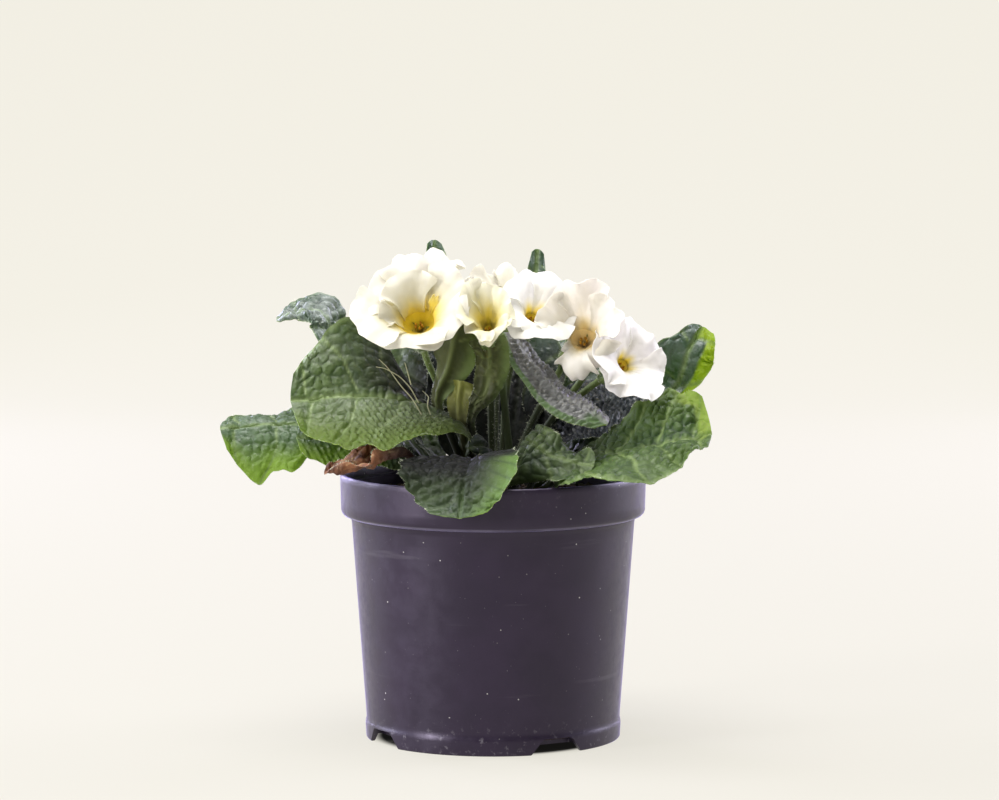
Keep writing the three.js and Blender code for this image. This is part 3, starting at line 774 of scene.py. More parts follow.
@dataclass(frozen=True)
class HairFinish:
    """Fine pale hairs on stalks, calyces and margins."""

    look: Look = Look.DOWN
    dull: Colour = (0.5, 0.56, 0.36)
    pale: Colour = (0.72, 0.76, 0.6)

    def make(self) -> Material:
        """Build the material.

        Returns:
            The material.
        """
        paint = Paint(self.look.value)
        colour = paint.mix(paint.noise(4, 2), self.dull, self.pale)
        rough = paint.span(paint.noise(2, 2), 0.3, 0.7, 0.35, 0.5)
        return paint.done(paint.shader(Base_Color=colour, Roughness=rough, Specular_IOR_Level=0.5))


@dataclass(frozen=True)
class PollenFinish:
    """Grainy orange of the anthers."""

    look: Look = Look.POLLEN
    brown: Colour = (0.3, 0.13, 0.01)
    orange: Colour = (0.75, 0.42, 0.03)

    def make(self) -> Material:
        """Build the material.

        Returns:
            The material.
        """
        paint = Paint(self.look.value)
        colour = paint.mix(paint.span(paint.noise(0.5, 3), 0.35, 0.7), self.brown, self.orange)
        normal = paint.bump(paint.cells(0.25), 0.12, 0.8)
        rough = paint.span(paint.noise(0.8, 2), 0.3, 0.7, 0.6, 0.8)
        return paint.done(paint.shader(Base_Color=colour, Roughness=rough, Normal=normal))


@dataclass(frozen=True)
class PlasticFinish:
    """Satin aubergine-black moulded plastic, dusty and a little scuffed, with a painted highlight under the
    rim.
    """

    look: Look = Look.PLASTIC
    body: Colour = (0.006, 0.0026, 0.0105)
    worn: Colour = (0.0105, 0.005, 0.0165)
    dust: Colour = (0.42, 0.4, 0.44)
    speck: Colour = (0.6, 0.58, 0.56)
    rim_highlight: Colour = (0.42, 0.38, 0.56)
    gloss_tint: Colour = (0.84, 0.75, 1.0)
    sheen_tint: Colour = (0.56, 0.48, 1.0)

    def make(self) -> Material:
        """Build the material.

        Returns:
            The material.
        """
        paint = Paint(self.look.value)
        streak = paint.node("ShaderNodeMapping", {"Vector": paint.place, "Scale": (18.0, 18.0, 240.0)})
        inputs = {"Vector": streak.outputs[0], "Scale": 1.0, "Detail": 5.0}
        drawn = paint.node("ShaderNodeTexNoise", inputs).outputs["Fac"]
        height = paint.node("ShaderNodeSeparateXYZ", {"Vector": paint.place}).outputs["Z"]
        low = paint.span(height, 0.014, 0.002, 0.0, 0.3)
        high = paint.span(height, 0.08, 0.092, 0.0, 0.1)
        grime = paint.times(paint.span(paint.noise(2.2, 5, 0.7), 0.56, 0.74), paint.maths("ADD", low, high))
        rare = paint.span(paint.noise(17, 3), 0.46, 0.62, 0, 0.8)
        patchy = paint.span(paint.noise(8, 3), 0.5, 0.7, 0, 0.4)
        # Painted highlight: a lavender band at the rim's lower edge stands in for the bright floor reflected
        # there.
        edges = paint.times(paint.span(height, 0.0762, 0.0766), paint.span(height, 0.0777, 0.077))
        colour = paint.layered(
            paint.mix(paint.span(paint.noise(22, 4), 0.35, 0.7), self.body, self.worn),
            (paint.span(drawn, 0.64, 0.82, 0, 0.1), self.dust),
            (grime, self.dust),
            (paint.times(paint.span(paint.cells(4.2), 0.075, 0.035), rare), self.speck),
            (paint.times(paint.span(paint.cells(1.7), 0.1, 0.05), patchy), self.dust),
            (paint.times(edges, paint.span(paint.noise(14, 3), 0.3, 0.6, 0.12, 0.3)), self.rim_highlight),
        )
        rough = paint.span(paint.noise(6, 5, 0.65), 0.3, 0.75, 0.3, 0.46)
        rough = paint.maths("ADD", rough, paint.times(grime, 0.4))
        normal = paint.bump(paint.noise(0.9, 4), 0.03, 0.5)
        normal = paint.bump(drawn, 0.12, 0.35, normal)
        shader = paint.shader(
            Base_Color=colour, Roughness=rough, Normal=normal, Specular_IOR_Level=0.6,
            Specular_Tint=self.gloss_tint, Sheen_Weight=1.0, Sheen_Roughness=0.17, Sheen_Tint=self.sheen_tint,
        )
        return paint.done(shader)


@dataclass(frozen=True)
class PeatFinish:
    """Dark, fibrous potting peat with a few pale grains."""

    look: Look = Look.PEAT
    dark: Colour = (0.012, 0.008, 0.005)
    brown: Colour = (0.07, 0.042, 0.025)
    grain: Colour = (0.42, 0.37, 0.3)

    def make(self) -> Material:
        """Build the material.

        Returns:
            The material.
        """
        paint = Paint(self.look.value)
        colour = paint.mix(paint.span(paint.noise(2.2, 6, 0.7), 0.3, 0.72), self.dark, self.brown)
        rare = paint.span(paint.noise(9, 2), 0.5, 0.62, 0, 0.7)
        colour = paint.mix(paint.times(paint.span(paint.cells(3.4), 0.16, 0.09), rare), colour, self.grain)
        normal = paint.bump(paint.noise(1.1, 6, 0.75), 0.9, 1.0)
        rough = paint.span(paint.noise(2, 3), 0.3, 0.7, 0.82, 1.0)
        shader = paint.shader(Base_Color=colour, Roughness=rough, Normal=normal, Specular_IOR_Level=0.3)
        return paint.done(shader)


# ---- Leaves ----


@dataclass
class SoilSize:
    """Surface of the soil round the crown of the plant."""

    level: float = 83
    mound: float = 2.5
    crown_radius: float = 23
    shoulder_radius: float = 48.7

    def height(self, radius: float | Array) -> Array:
        """Height of the soil at a distance from the pot's axis."""
        return self.level + self.mound * (1 - smooth(self.crown_radius, self.shoulder_radius, radius))


@dataclass
class Leaf:
    """A quilted leaf on its winged stalk.

    root is the radius and azimuth where it leaves the soil, rib the places that its midrib runs
    through, roll its turn about the midrib half way and at the tip, fold and curl the bend of its
    halves. left and right are widths of a half at shares of the length, where it isn't the plain one.
    lit is the margin that light shines through, also painted into its colour: a side, the share of
    the length from which it does, and how far in it reaches. A wide one fades inwards. ridged and
    dusky are parts with fine ridges and with painted shade: a side and two shares of the length.
    A leaf that isn't counted is too small to have a solid. The fields from root_depth on are the same
    for all leaves.
    """

    node: str
    root: Pair
    rib: tuple[Point, ...]
    width: float
    roll: Pair = (0, 0)
    fold: float = 10
    curl: Pair = (-10, -10)
    blade_start: float = 0.16
    shoulder: float = 0.68
    veins: int = 6
    wave: float = 1.5
    phase: float = 0.2
    finish: Look = Look.LEAF
    underside: Look = Look.UNDER
    rows: int = 78
    columns: int = 42
    frill: float = 1.0
    quilt: float = 1.0
    teeth: float = 1.0
    left: Widths = ()
    right: Widths = ()
    lit: Part = (Side.BOTH, 0, 0)
    ridged: Part = (Side.BOTH, 2, 2)
    dusky: Part = (Side.BOTH, 2, 2)
    slot: Slot = Slot.LEAF
    counted: bool = True
    soil: SoilSize = field(default_factory=SoilSize)

    root_depth: float = 6.0
    stalk_half_width: float = 2.0
    stalk_thickness: float = 2.6
    thickness: float = 0.4
    tip_share: float = 0.24
    roundness: float = 0.018
    wide_margin: float = 0.65
    half_shift: float = 0.35
    bends: int = 12
    fringe: int = 170
    hair: float = 0.7
    hair_thickness: float = 0.04
    cell: float = 3.6
    bead: float = 1.9
    ridge_pitch: float = 2.1

    def midrib(self) -> tuple[Array, Array, Array]:
        """The curve of the midrib from the soil to the tip.

        Returns:
            Its points, how far along it each of them is, and the line from foot to tip.
        """
        foot = polar(*self.root, float(self.soil.height(self.root[0])))
        stops = np.array([foot, *self.rib])
        ends = np.concatenate([[2 * stops[0] - stops[1]], stops, [2 * stops[-1] - stops[-2]]])
        t = np.linspace(0, len(stops) - 1, 600)
        i = np.minimum(t.astype(int), len(stops) - 2)
        w = (t - i)[:, None]
        before, start, end, after = ends[i], ends[i + 1], ends[i + 2], ends[i + 3]
        leave, arrive = (end - before) / 2, (after - start) / 2
        curve = (
            start + leave * w + (3 * (end - start) - 2 * leave - arrive) * w**2
            + (2 * (start - end) + leave + arrive) * w**3
        )
        run = np.concatenate([[0], np.cumsum(np.linalg.norm(np.diff(curve, axis=0), axis=1))])
        return curve, run, stops[-1] - foot

    def spine(self, u: Array) -> tuple[Array, Array, Array, float]:
        """Frames along the midrib.

        Args:
            u: Shares of the midrib's length, from the buried foot to the tip.

        Returns:
            Points, directions across, normals and the midrib's length.
        """
        curve, run, chord = self.midrib()
        length = run[-1] + self.root_depth
        beyond = u * length - self.root_depth
        at = np.clip(beyond, 0, run[-1])
        slope = unit(np.gradient(curve, run, axis=0))
        along = unit(np.stack([np.interp(at, run, slope[:, k]) for k in range(3)], -1))
        point = np.stack([np.interp(at, run, curve[:, k]) for k in range(3)], -1)
        point = point + along * np.minimum(0, beyond)[..., None]
        side = unit(np.array([-chord[1], chord[0], 0.0]))
        share = (at / run[-1])[..., None]
        tilt = np.radians(2 * (1 - share) * share * self.roll[0] + share**2 * self.roll[1])
        level = unit(side - along * (along @ side)[..., None])
        flat = np.cross(along, level)
        across = level * np.cos(tilt) + flat * np.sin(tilt)
        normal = flat * np.cos(tilt) - level * np.sin(tilt)
        return point, across, normal, length

    def half_width(self, u: Array, v: Array) -> Array:
        """Width of the half that a place lies in.

        Args:
            u: Shares of the leaf's length.
            v: Places across, whose sign names the half.

        Returns:
            The widths.
        """
        plain = self.plain_width(u)
        halves = []
        for stops in (self.left, self.right):
            if not stops:
                halves.append(plain)
                continue
            places, widths = np.array(stops).T
            blur = [np.interp(u + step, places, widths) for step in np.linspace(-0.022, 0.022, 5)]
            halves.append(np.mean(blur, axis=0))
        return np.where(v >= 0, *halves)

    def plain_width(self, u: Array) -> Array:
        """Half the width of an even leaf.

        Args:
            u: Shares of its length.

        Returns:
            The half widths.
        """
        start, half = self.blade_start, self.width / 2
        stalk = self.stalk_half_width * (1 - smooth(start + 0.1, start + 0.4, u))
        t = np.clip((u - start) / (self.shoulder - start), 0, 1)
        widening = np.maximum(half * np.sin(math.pi / 2 * t) ** 1.25, stalk)
        beyond = np.clip((u - self.shoulder) / (1 - self.shoulder), 0, 1)
        closing = half * np.maximum(self.tip_share, np.sqrt(1 - beyond**2.3))
        return np.where(u > self.shoulder, closing, widening)

    def sheet(self, u: Array, v: Array) -> tuple[Array, Array]:
        """The middle sheet of the blade.

        Args:
            u: Shares of the midrib's length.
            v: Places across, from -1 to 1 inside the margins.

        Returns:
            Points and normals.
        """
        point, across, normal, _ = self.spine(u)
        opened = smooth(self.blade_start, self.blade_start + 0.35, u)
        fold = math.radians(self.fold) * opened * smooth(0, 0.12, np.abs(v))
        curl = np.radians(np.where(v >= 0, self.curl[0], self.curl[1])) * opened
        step = (np.abs(v) * self.half_width(u, v) / self.bends)[..., None]
        hand = np.sign(v)[..., None]
        for k in range(self.bends):
            angle = (fold + curl * ((k + 0.5) / self.bends * np.abs(v)) ** 2)[..., None]
            point = point + across * hand * step * np.cos(angle) + normal * step * np.sin(angle)
        facing = unit(normal * np.cos(angle) - across * hand * np.sin(angle))
        return point, facing

    def zone(self, part: Part, u: Array, v: Array, soft: float = 0.06) -> Array:
        """How far places lie in a part of the blade.

        Args:
            part: Its side and shares of the length.
            u: Shares of the length.
            v: Places across.
            soft: Half length of its soft ends.

        Returns:
            1 inside and 0 outside.
        """
        side, first, last = part
        inside = smooth(first - soft, first + soft, u) * (1 - smooth(last - soft, last + soft, u))
        return inside if side is Side.BOTH else inside * smooth(0.0, 0.2, v * side.value)

    def lit_margin(self, u: Array, v: Array) -> Array:
        """Strength of the light through the margin, which is also painted into the colour.

        Args:
            u: Shares of the length.
            v: Places across.

        Returns:
            The strengths, from 0 to 1.
        """
        side, first, depth = self.lit
        if side is Side.BOTH:
            return np.zeros(u.shape)
        narrow = depth < self.wide_margin
        inner = 1 - depth * (0.7 if narrow else 0.0)
        inwards = v * side.value
        band = (inwards > 0) * smooth(first, first + 0.08, u) * smooth(1 - depth, inner, np.abs(v))
        return np.maximum(band, smooth(0.93, 0.96, u) * smooth(-0.3, 0, inwards) * narrow)

    def build(self, finishes: Finishes) -> None:
        """Make the leaf.

        Args:
            finishes: Materials by finish.
        """
        seed = name_seed(self.node)
        t = np.linspace(-1, 1, self.columns + 1)
        v, u = np.meshgrid(np.sign(t) * np.abs(t) ** 1.1, np.linspace(0, 1, self.rows + 1))
        out = np.abs(v)
        blade = smooth(self.blade_start, self.blade_start + 0.25, u)
        side = np.where(v < 0, self.half_shift, 0.0)
        length = self.spine(np.zeros(1))[3]
        lobes = np.cos(TURN * self.veins * u)
        teeth = value_noise(u * length / 2.6 + side * 90, side, self.phase * 9, seed)
        coarse = value_noise(u * length / 7 + side * 50, side, self.phase * 5, seed + 7)
        breadth = 1 + (0.03 * lobes * out**3 + 0.045 * (teeth + coarse) * self.teeth * out**4) * blade
        s = u * length
        w = v * breadth * self.half_width(u, v)
        relief, ribs, cells = self.quilting(s, w, length, self.zone(self.ridged, u, v), seed)
        u = u - self.roundness * smooth(0.84, 1, u) * out**2
        fade = blade * (1 - smooth(0.965, 1, u)) * (1 - 0.5 * smooth(0.93, 1, out))
        point, facing = self.sheet(u, v * breadth)
        ruffle = self.wave * np.sin(TURN * (2.5 * u + self.phase + side)) * out**3
        frill = value_noise(s / 6.5, side * 30, 4.0, seed + 3) * out**4 * 1.5 * self.frill
        uneven = value_noise(s / 13, w / 13, 6.0, seed + 4) * 1.9 * smooth(0, 0.4, out)
        swell = (ruffle + frill + uneven) * blade * (1 - smooth(0.93, 1, u))
        point = point + facing * swell[..., None]
        middle = np.exp(-((w / (0.6 + 0.8 * (1 - u))) ** 2))
        opened = smooth(self.blade_start, self.blade_start + 0.2, u)
        groove = 0.6 * middle * opened
        keel = (self.stalk_thickness - 0.75) * (1 - 0.85 * smooth(0, 0.9, u))
        wing = (1 - opened) * np.sqrt(np.maximum(0, 1 - v**2))
        body = keel * np.maximum(np.exp(-((w / (1.5 - 0.6 * u)) ** 2)), wing)
        thick = self.thickness / 2 * (1 - 0.5 * smooth(0.8, 1, out) * blade)
        relief = relief * fade * self.quilt
        top = point + facing * (thick + relief - groove)[..., None]
        bottom = point + facing * (-thick + relief * 0.9 - body - 0.25 * ribs * blade)[..., None]
        plain = max(0.0, 1 - self.quilt)
        shine = self.lit_margin(u, v)
        values = {
            "rib": ribs * blade + 0.6 * (1 - blade),
            "net": cells * (1 - plain) + 0.3 * plain,
            "edge": out * blade,
            "shine": shine,
            # Painted shade over the dusky, less where the margin's light is painted.
            "dusk": self.zone(self.dusky, u + 0.03 * coarse, v, 0.14) * (1 - shine),
        }
        surface = Surface()
        surface.shell(top, bottom, (0, 1, 1), values)
        for column, inner, hand in ((0, 1, -1), (-1, -2, 1)):
            outwards = unit(point[:, column] - point[:, inner])
            self.add_fringe(surface, point[:, column], outwards, facing[:, column], seed + hand)
        materials = (finishes[self.finish], finishes[self.underside], finishes[Look.DOWN])
        surface.piece(self.node + "_blade", materials, [self.node] if self.counted else [], self.slot)

    def add_fringe(self, surface: Surface, margin: Array, out: Array, facing: Array, seed: int) -> None:
        """Add the short hairs that fringe a margin.

        Args:
            surface: Surface that they join.
            margin: Points along the margin.
            out: Directions out of the blade.
            facing: Normals of the blade.
            seed: Number that picks the places.
        """
        rng = np.random.default_rng(seed)
        place = rng.uniform(self.blade_start, 0.995, self.fringe) * (len(margin) - 1)
        first = place.astype(int)
        share = (place - first)[:, None]
        root = margin[first] * (1 - share) + margin[first + 1] * share
        lean = unit(out[first] + 0.35 * rng.normal(0, 1, (self.fringe, 3)) + 0.3 * facing[first])
        surface.hairs(root, lean, self.hair, self.hair_thickness, 2, rng)

    def quilting(
        self, s: Array, w: Array, length: float, tight: Array, seed: int
    ) -> tuple[Array, Array, Array]:
        """Puckered relief of the blade between its veins.

        Args:
            s: Millimetres along the leaf.
            w: Millimetres across it.
            length: Length of the leaf.
            tight: Share of fine ridges.
            seed: Number that picks the pattern.

        Returns:
            Height of the relief, strength of the veins and distance from the net.
        """
        pitch = length / self.veins
        sway = value_noise(s / 11, w / 11, np.sign(w) * 4, seed + 1)
        lateral = (s - 0.5 * np.abs(w)) / pitch + 0.16 * sway
        gap = np.abs(lateral - np.floor(lateral) - 0.5) * pitch
        middle = np.exp(-((w / 0.9) ** 2))
        ribs = np.maximum(np.exp(-((gap / 0.5) ** 2)) * smooth(0.9, 2.4, np.abs(w)), middle)
        bend = value_noise(s / 6, w / 6, 2.0, seed + 2)
        turn = value_noise(s / 6, w / 6, 9.0, seed + 6)
        coarse = cell_net((s + 0.7 * bend) / self.cell, (w + 0.7 * turn) / self.cell, seed)
        fine = cell_net(s / self.bead, w / self.bead, seed + 5)
        dome = np.clip(coarse / 0.7, 0, 1)
        dome = dome * (2 - dome)
        bead = np.clip(fine / 0.7, 0, 1)
        bead = bead * (2 - bead)
        lift = 0.8 + 0.75 * value_noise(s / 9, w / 9, 7.0, seed + 8)
        valley = smooth(0.0, 3.0, gap)
        relief = lift * 0.95 * dome + 0.6 * valley + 0.1 * bead - 0.95
        run = (s + 0.5 * np.abs(w) + 0.5 * bend) / self.ridge_pitch
        ridge = np.abs(np.cos(math.pi * run)) ** 1.4
        broken = np.clip(cell_net(s / 2.6, w / 3.4, seed + 9) / 0.5, 0.25, 1)
        drawn = 0.95 * ridge * broken + 0.35 * valley - 0.7
        relief = relief + (drawn - relief) * tight
        ribs = np.maximum(ribs, tight * ridge * broken * 0.55)
        return relief, ribs, np.minimum(coarse, 0.3 + fine) * (1 - 0.6 * tight) + 0.35 * tight


LEAVES = (
    Leaf(
        "leaf_left_broad", (12, 202), ((-12, -17, 111), (-40, -23.5, 119.5), (-68, -28, 118.5)), 56,
        roll=(-50, -54), fold=14, curl=(0, 10), phase=0.1, rows=176, columns=104, finish=Look.BROAD,
        ridged=(Side.LEFT, 0.42, 0.76), dusky=(Side.RIGHT, -1, 0.73), teeth=0.7, lit=(Side.LEFT, 0.25, 0.9),
        quilt=1.1,
        left=((0.12, 2), (0.24, 7), (0.34, 15), (0.45, 22), (0.58, 28), (0.7, 28.5), (0.83, 26),
              (0.89, 22.5), (0.95, 17), (1, 10.5)),
        right=((0.3, 1.6), (0.5, 2), (0.56, 8), (0.62, 15), (0.7, 24), (0.75, 29), (0.8, 26), (0.85, 22),
               (0.9, 17.5), (0.95, 12.5), (1, 6.5)),
    ),
    Leaf(
        "leaf_left_low", (18, 186), ((-40, -3, 103), (-67, -6, 108.5), (-93, -10, 107.5)), 44,
        roll=(-30, -40), fold=-22, curl=(-15, -10), phase=0.4, wave=2.2, rows=160, columns=90,
        finish=Look.SUNNY, lit=(Side.LEFT, 0.52, 0.72),
        left=((0.16, 2), (0.4, 4), (0.55, 7), (0.63, 10), (0.68, 15), (0.71, 20), (0.75, 20.5), (0.79, 18.5),
              (0.835, 17.5), (0.85, 20), (0.89, 22.5), (0.93, 17.5), (0.965, 10), (1, 4.5)),
        right=((0.16, 2), (0.4, 7), (0.6, 20), (0.7, 21), (0.8, 16), (0.9, 8.5), (1, 3.5)),
        teeth=1.2, quilt=1.15,
    ),
    Leaf(
        "leaf_left_under", (18, 212), ((-28, -19, 99.5), (-48, -24, 105), (-66, -28, 106)), 27,
        roll=(-44, -54), fold=-14, phase=0.4, finish=Look.SUNNY,
        left=((0.16, 2), (0.3, 6), (0.4, 9), (0.52, 9), (0.6, 9), (0.7, 9.5), (0.85, 10.5), (0.95, 7.5),
              (1, 2.5)),
        rows=130, columns=52, ridged=(Side.LEFT, 0.4, 1.2), lit=(Side.LEFT, 0.5, 0.9),
    ),
    Leaf(
        "leaf_left_high", (12, 169), ((-34, 3, 111), (-51.5, 6, 131), (-59, 9, 145.5), (-75, 12, 143)), 28,
        roll=(-20, -30), fold=-6, phase=0.7, finish=Look.SILVER, quilt=1.7, rows=116, columns=58,
        left=((0.16, 2), (0.5, 2.5), (0.62, 4), (0.7, 7), (0.78, 9), (0.86, 6.5), (0.92, 3), (1, 2)),
        right=((0.16, 2), (0.5, 3), (0.62, 5), (0.7, 8), (0.8, 11.5), (0.9, 10), (0.96, 6.5), (1, 2.5)),
    ),
    Leaf(
        "leaf_front_broad", (18, 261), ((-6, -34, 99), (-9, -54, 97.5), (-11, -64, 83)), 42, roll=(2, 6),
        fold=6, curl=(10, 4), wave=1, rows=150, columns=96, finish=Look.PALE, quilt=0.7, veins=14,
        left=((0.16, 2), (0.35, 9), (0.5, 13.5), (0.6, 16), (0.68, 17.8), (0.79, 18.6), (0.86, 17),
              (0.92, 14), (1, 8.5)),
        right=((0.16, 2), (0.35, 14), (0.5, 20), (0.66, 22.5), (0.79, 21), (0.86, 18), (0.92, 14.5),
               (1, 8.5)),
        dusky=(Side.BOTH, -1, 0.86), teeth=0.6, lit=(Side.LEFT, 0.62, 0.95),
    ),
    Leaf(
        "leaf_front_twisted", (18, 289), ((10, -33, 105), (19.5, -43, 101.5), (33.5, -47, 98.5)), 27,
        roll=(66, 38), fold=-6, phase=0.6, wave=3.4, frill=2.2, rows=140, columns=84,
        left=((0.18, 3), (0.26, 9), (0.34, 12.5), (0.42, 11), (0.52, 8), (0.65, 7), (0.8, 7.5), (0.95, 6),
              (1, 3)),
        right=((0.2, 2), (0.4, 3), (0.5, 7), (0.55, 12), (0.59, 18), (0.62, 20), (0.66, 16), (0.72, 11),
               (0.78, 8), (0.84, 9), (0.93, 8), (1, 3)),
        dusky=(Side.BOTH, -1, 0.42),
    ),
    Leaf(
        "leaf_right_broad", (18, 325), ((30, -26, 98), (49, -35, 103), (73, -38.5, 108.5)), 46,
        roll=(16, 38), fold=8, curl=(35, -10), phase=0.5, rows=160, columns=100, finish=Look.FRESH,
        quilt=1.5,
        left=((0.2, 2), (0.35, 9), (0.5, 17), (0.65, 19.5), (0.78, 22), (0.86, 23.5), (0.92, 21),
              (0.96, 17.5), (1, 12)),
        right=((0.2, 2), (0.3, 9), (0.38, 19), (0.48, 28), (0.62, 30), (0.72, 28.5), (0.82, 21), (0.91, 13),
               (1, 6)),
        lit=(Side.LEFT, 0.84, 0.34), teeth=1.3,
    ),
    Leaf(
        "leaf_right_high", (12, 3), ((38, 3, 104), (61, 1, 119), (67, 0, 133), (72, 6, 141)), 24,
        roll=(70, 80), fold=6, curl=(0, 35), finish=Look.BLUE, underside=Look.UNDER_LIT,
        left=((0.16, 2), (0.5, 6), (0.7, 5.5), (0.78, 6), (0.81, 7.5), (0.84, 12), (0.87, 9.5), (0.9, 7),
              (0.95, 4.5), (1, 2.5)),
        right=((0.16, 2), (0.5, 4), (0.7, 5), (0.8, 7.5), (0.9, 9.5), (0.96, 7), (1, 3)),
        lit=(Side.RIGHT, 0.62, 0.55), teeth=1.4, rows=116, columns=58,
    ),
    Leaf(
        "leaf_right_dark", (12, 336), ((26, -5.5, 110), (41, -7.5, 118.5), (56, -10, 120.5)), 30,
        roll=(34, 44), fold=-8, phase=0.8, finish=Look.SLATE, ridged=(Side.BOTH, 0.4, 1.2),
        dusky=(Side.BOTH, -1, 0.45), quilt=1.5, rows=150, columns=52,
    ),
    Leaf(
        "leaf_arched", (12, 304),
        ((3, -14.5, 126), (5.3, -19.5, 141), (13, -27.5, 132), (25.5, -37, 119.5), (38, -43, 112)), 23,
        roll=(0, 6), fold=-6, curl=(-20, -40), blade_start=0.45, phase=0.3, finish=Look.DUSKY, rows=210,
        columns=56, lit=(Side.RIGHT, 0.5, 0.3), ridged=(Side.BOTH, 0, 2),
        left=((0.45, 1.2), (0.53, 2), (0.6, 4.5), (0.7, 6), (0.8, 8), (0.9, 11), (0.96, 8), (1, 3)),
        right=((0.45, 1.2), (0.53, 1.5), (0.58, 4), (0.64, 6.5), (0.72, 8), (0.8, 9.5), (0.9, 8.5),
               (0.96, 6), (1, 2.5)),
        wave=0.6, frill=0.5, quilt=1.1,
    ),
    Leaf(
        "leaf_inner_left", (12, 236), ((-14, -15, 105), (-19, -22, 118), (-15, -26, 130), (-12, -28, 145)),
        15, veins=5, fold=20, curl=(10, 10), phase=0.1, wave=0.8, rows=90, columns=50, finish=Look.LIT,
        underside=Look.UNDER_OLIVE, quilt=0.5, teeth=0.6, blade_start=0.4, lit=(Side.LEFT, 0.48, 0.66),
        ridged=(Side.LEFT, 0.5, 0.8),
        left=((0.3, 1.2), (0.56, 1.4), (0.63, 3), (0.7, 5.4), (0.77, 7.6), (0.86, 9.5), (1, 11)),
        right=((0.3, 1.2), (0.56, 1.5), (0.64, 2.8), (0.71, 4.8), (0.78, 7), (0.86, 10), (1, 10)),
    ),
    Leaf(
        "leaf_inner_right", (11, 272),
        ((-7, -19, 106), (-7.5, -25, 115), (-2.5, -28.5, 122), (-1, -30, 133), (-2.5, -32, 140)), 17,
        veins=5, fold=12, curl=(25, 10), phase=0.6, wave=0.6, rows=110, columns=54, finish=Look.LIT,
        underside=Look.UNDER_OLIVE, quilt=1.1, teeth=0.9, blade_start=0.34,
        left=((0.2, 1.2), (0.53, 1.6), (0.59, 3.4), (0.66, 4.2), (0.72, 4.6), (0.8, 5.6), (0.88, 6.8),
              (0.95, 6.6), (1, 5.5)),
        right=((0.2, 1.2), (0.58, 1.4), (0.66, 2.6), (0.72, 3), (0.8, 4), (0.88, 6.6), (0.95, 7.2), (1, 6)),
        lit=(Side.LEFT, 0.4, 0.72), ridged=(Side.LEFT, 0.42, 1.2),
    ),
    Leaf(
        "leaf_back_tall_left", (12, 107), ((-11, 24, 125), (-18, 33, 150), (-21, 40, 169)), 19, veins=5,
        fold=15, phase=0.5, rows=110, columns=64, finish=Look.BLUE,
        left=((0.1, 4), (0.2, 14), (0.35, 18), (0.55, 16), (0.72, 10), (0.85, 6), (0.95, 3.6), (1, 2.5)),
        right=((0.1, 4), (0.2, 14), (0.35, 17), (0.55, 14), (0.72, 9), (0.85, 5), (0.95, 3), (1, 2.2)),
        dusky=(Side.BOTH, -1, 0.6), quilt=0.6,
    ),
    Leaf(
        "leaf_back_tall_right", (12, 74), ((10, 24, 125), (14, 31, 150), (15.5, 36, 166)), 15, roll=(10, 40),
        veins=5, fold=15, phase=0.9, rows=110, columns=64, finish=Look.BLUE,
        left=((0.1, 4), (0.2, 14), (0.35, 17), (0.55, 15), (0.72, 8), (0.85, 4), (0.95, 2.6), (1, 1.8)),
        right=((0.1, 4), (0.2, 14), (0.35, 18), (0.55, 16), (0.72, 8), (0.85, 4.5), (0.95, 3), (1, 2)),
        dusky=(Side.BOTH, -1, 0.6), quilt=0.6,
    ),
    Leaf("leaf_back_a", (18, 24), ((35, 16, 100), (54, 26, 105), (67, 33, 99)), 36, phase=0.15),
    Leaf(
        "leaf_back_b", (18, 57), ((25, 35, 99), (38, 54, 101), (47, 68, 92)), 34, veins=5, phase=0.35,
        finish=Look.LIT,
    ),
    Leaf("leaf_back_c", (19, 91), ((-1, 40, 101), (-2, 60, 104), (-4, 76, 94)), 38, veins=5, phase=0.55),
    Leaf(
        "leaf_back_d", (18, 127), ((-27, 32, 98), (-41, 50, 99), (-51, 63, 92)), 34, veins=5, phase=0.75,
        finish=Look.LIT,
    ),
    Leaf("leaf_back_e", (18, 155), ((-34, 19, 102), (-52, 31, 107), (-68, 41, 102)), 30, phase=0.95),
    Leaf(
        "leaf_back_f", (12, 38), ((24, 21, 116), (42, 34, 127), (56, 44, 126)), 32, veins=5, phase=0.25,
        roll=(50, 45), finish=Look.BLUE, dusky=(Side.BOTH, -1, 0.5),
    ),
    Leaf(
        "leaf_back_g", (12, 137), ((-21, 24, 116), (-40, 39, 125), (-52, 49, 124)), 32, veins=5, phase=0.45,
        roll=(-60, -50), dusky=(Side.BOTH, -1, 0.7),
    ),
    Leaf(
        "leaf_dry", (23, 234), ((-29, -35, 101), (-43, -43, 97.5), (-56, -46, 96)), 15, blade_start=0.4,
        roll=(-10, -25), veins=5, fold=20, curl=(50, 30), rows=110, columns=44, frill=3.2, wave=2.2,
        teeth=2.6, quilt=1.8, dusky=(Side.BOTH, -1, 0.68), finish=Look.WITHERED, underside=Look.WITHERED,
        slot=Slot.DRY,
    ),
    Leaf(
        "leaf_young_left", (9, 262), ((-8, -18, 99), (-11.5, -24.5, 113), (-11, -26.6, 125)), 12, veins=5,
        curl=(10, 10), phase=0.4, wave=0.5, rows=60, columns=36, finish=Look.LIT, underside=Look.UNDER_GOLD,
        quilt=0.5, counted=False, ridged=(Side.BOTH, 0.5, 1.2),
        left=((0.1, 1), (0.6, 1.4), (0.72, 2.4), (0.86, 3.8), (0.95, 4.6), (1, 4.6)),
        right=((0.1, 1), (0.6, 1.4), (0.72, 3.2), (0.86, 4.6), (0.95, 5), (1, 4.8)),
    ),
    Leaf(
        "leaf_young_right", (10, 285), ((-1, -20, 97), (-3, -27, 103), (-8, -32, 103)), 9, roll=(-50, -60),
        veins=5, fold=-10, wave=0.8, rows=60, columns=36, finish=Look.BLUE, quilt=0.5, counted=False,
    ),
)


# ---- Flowers ----


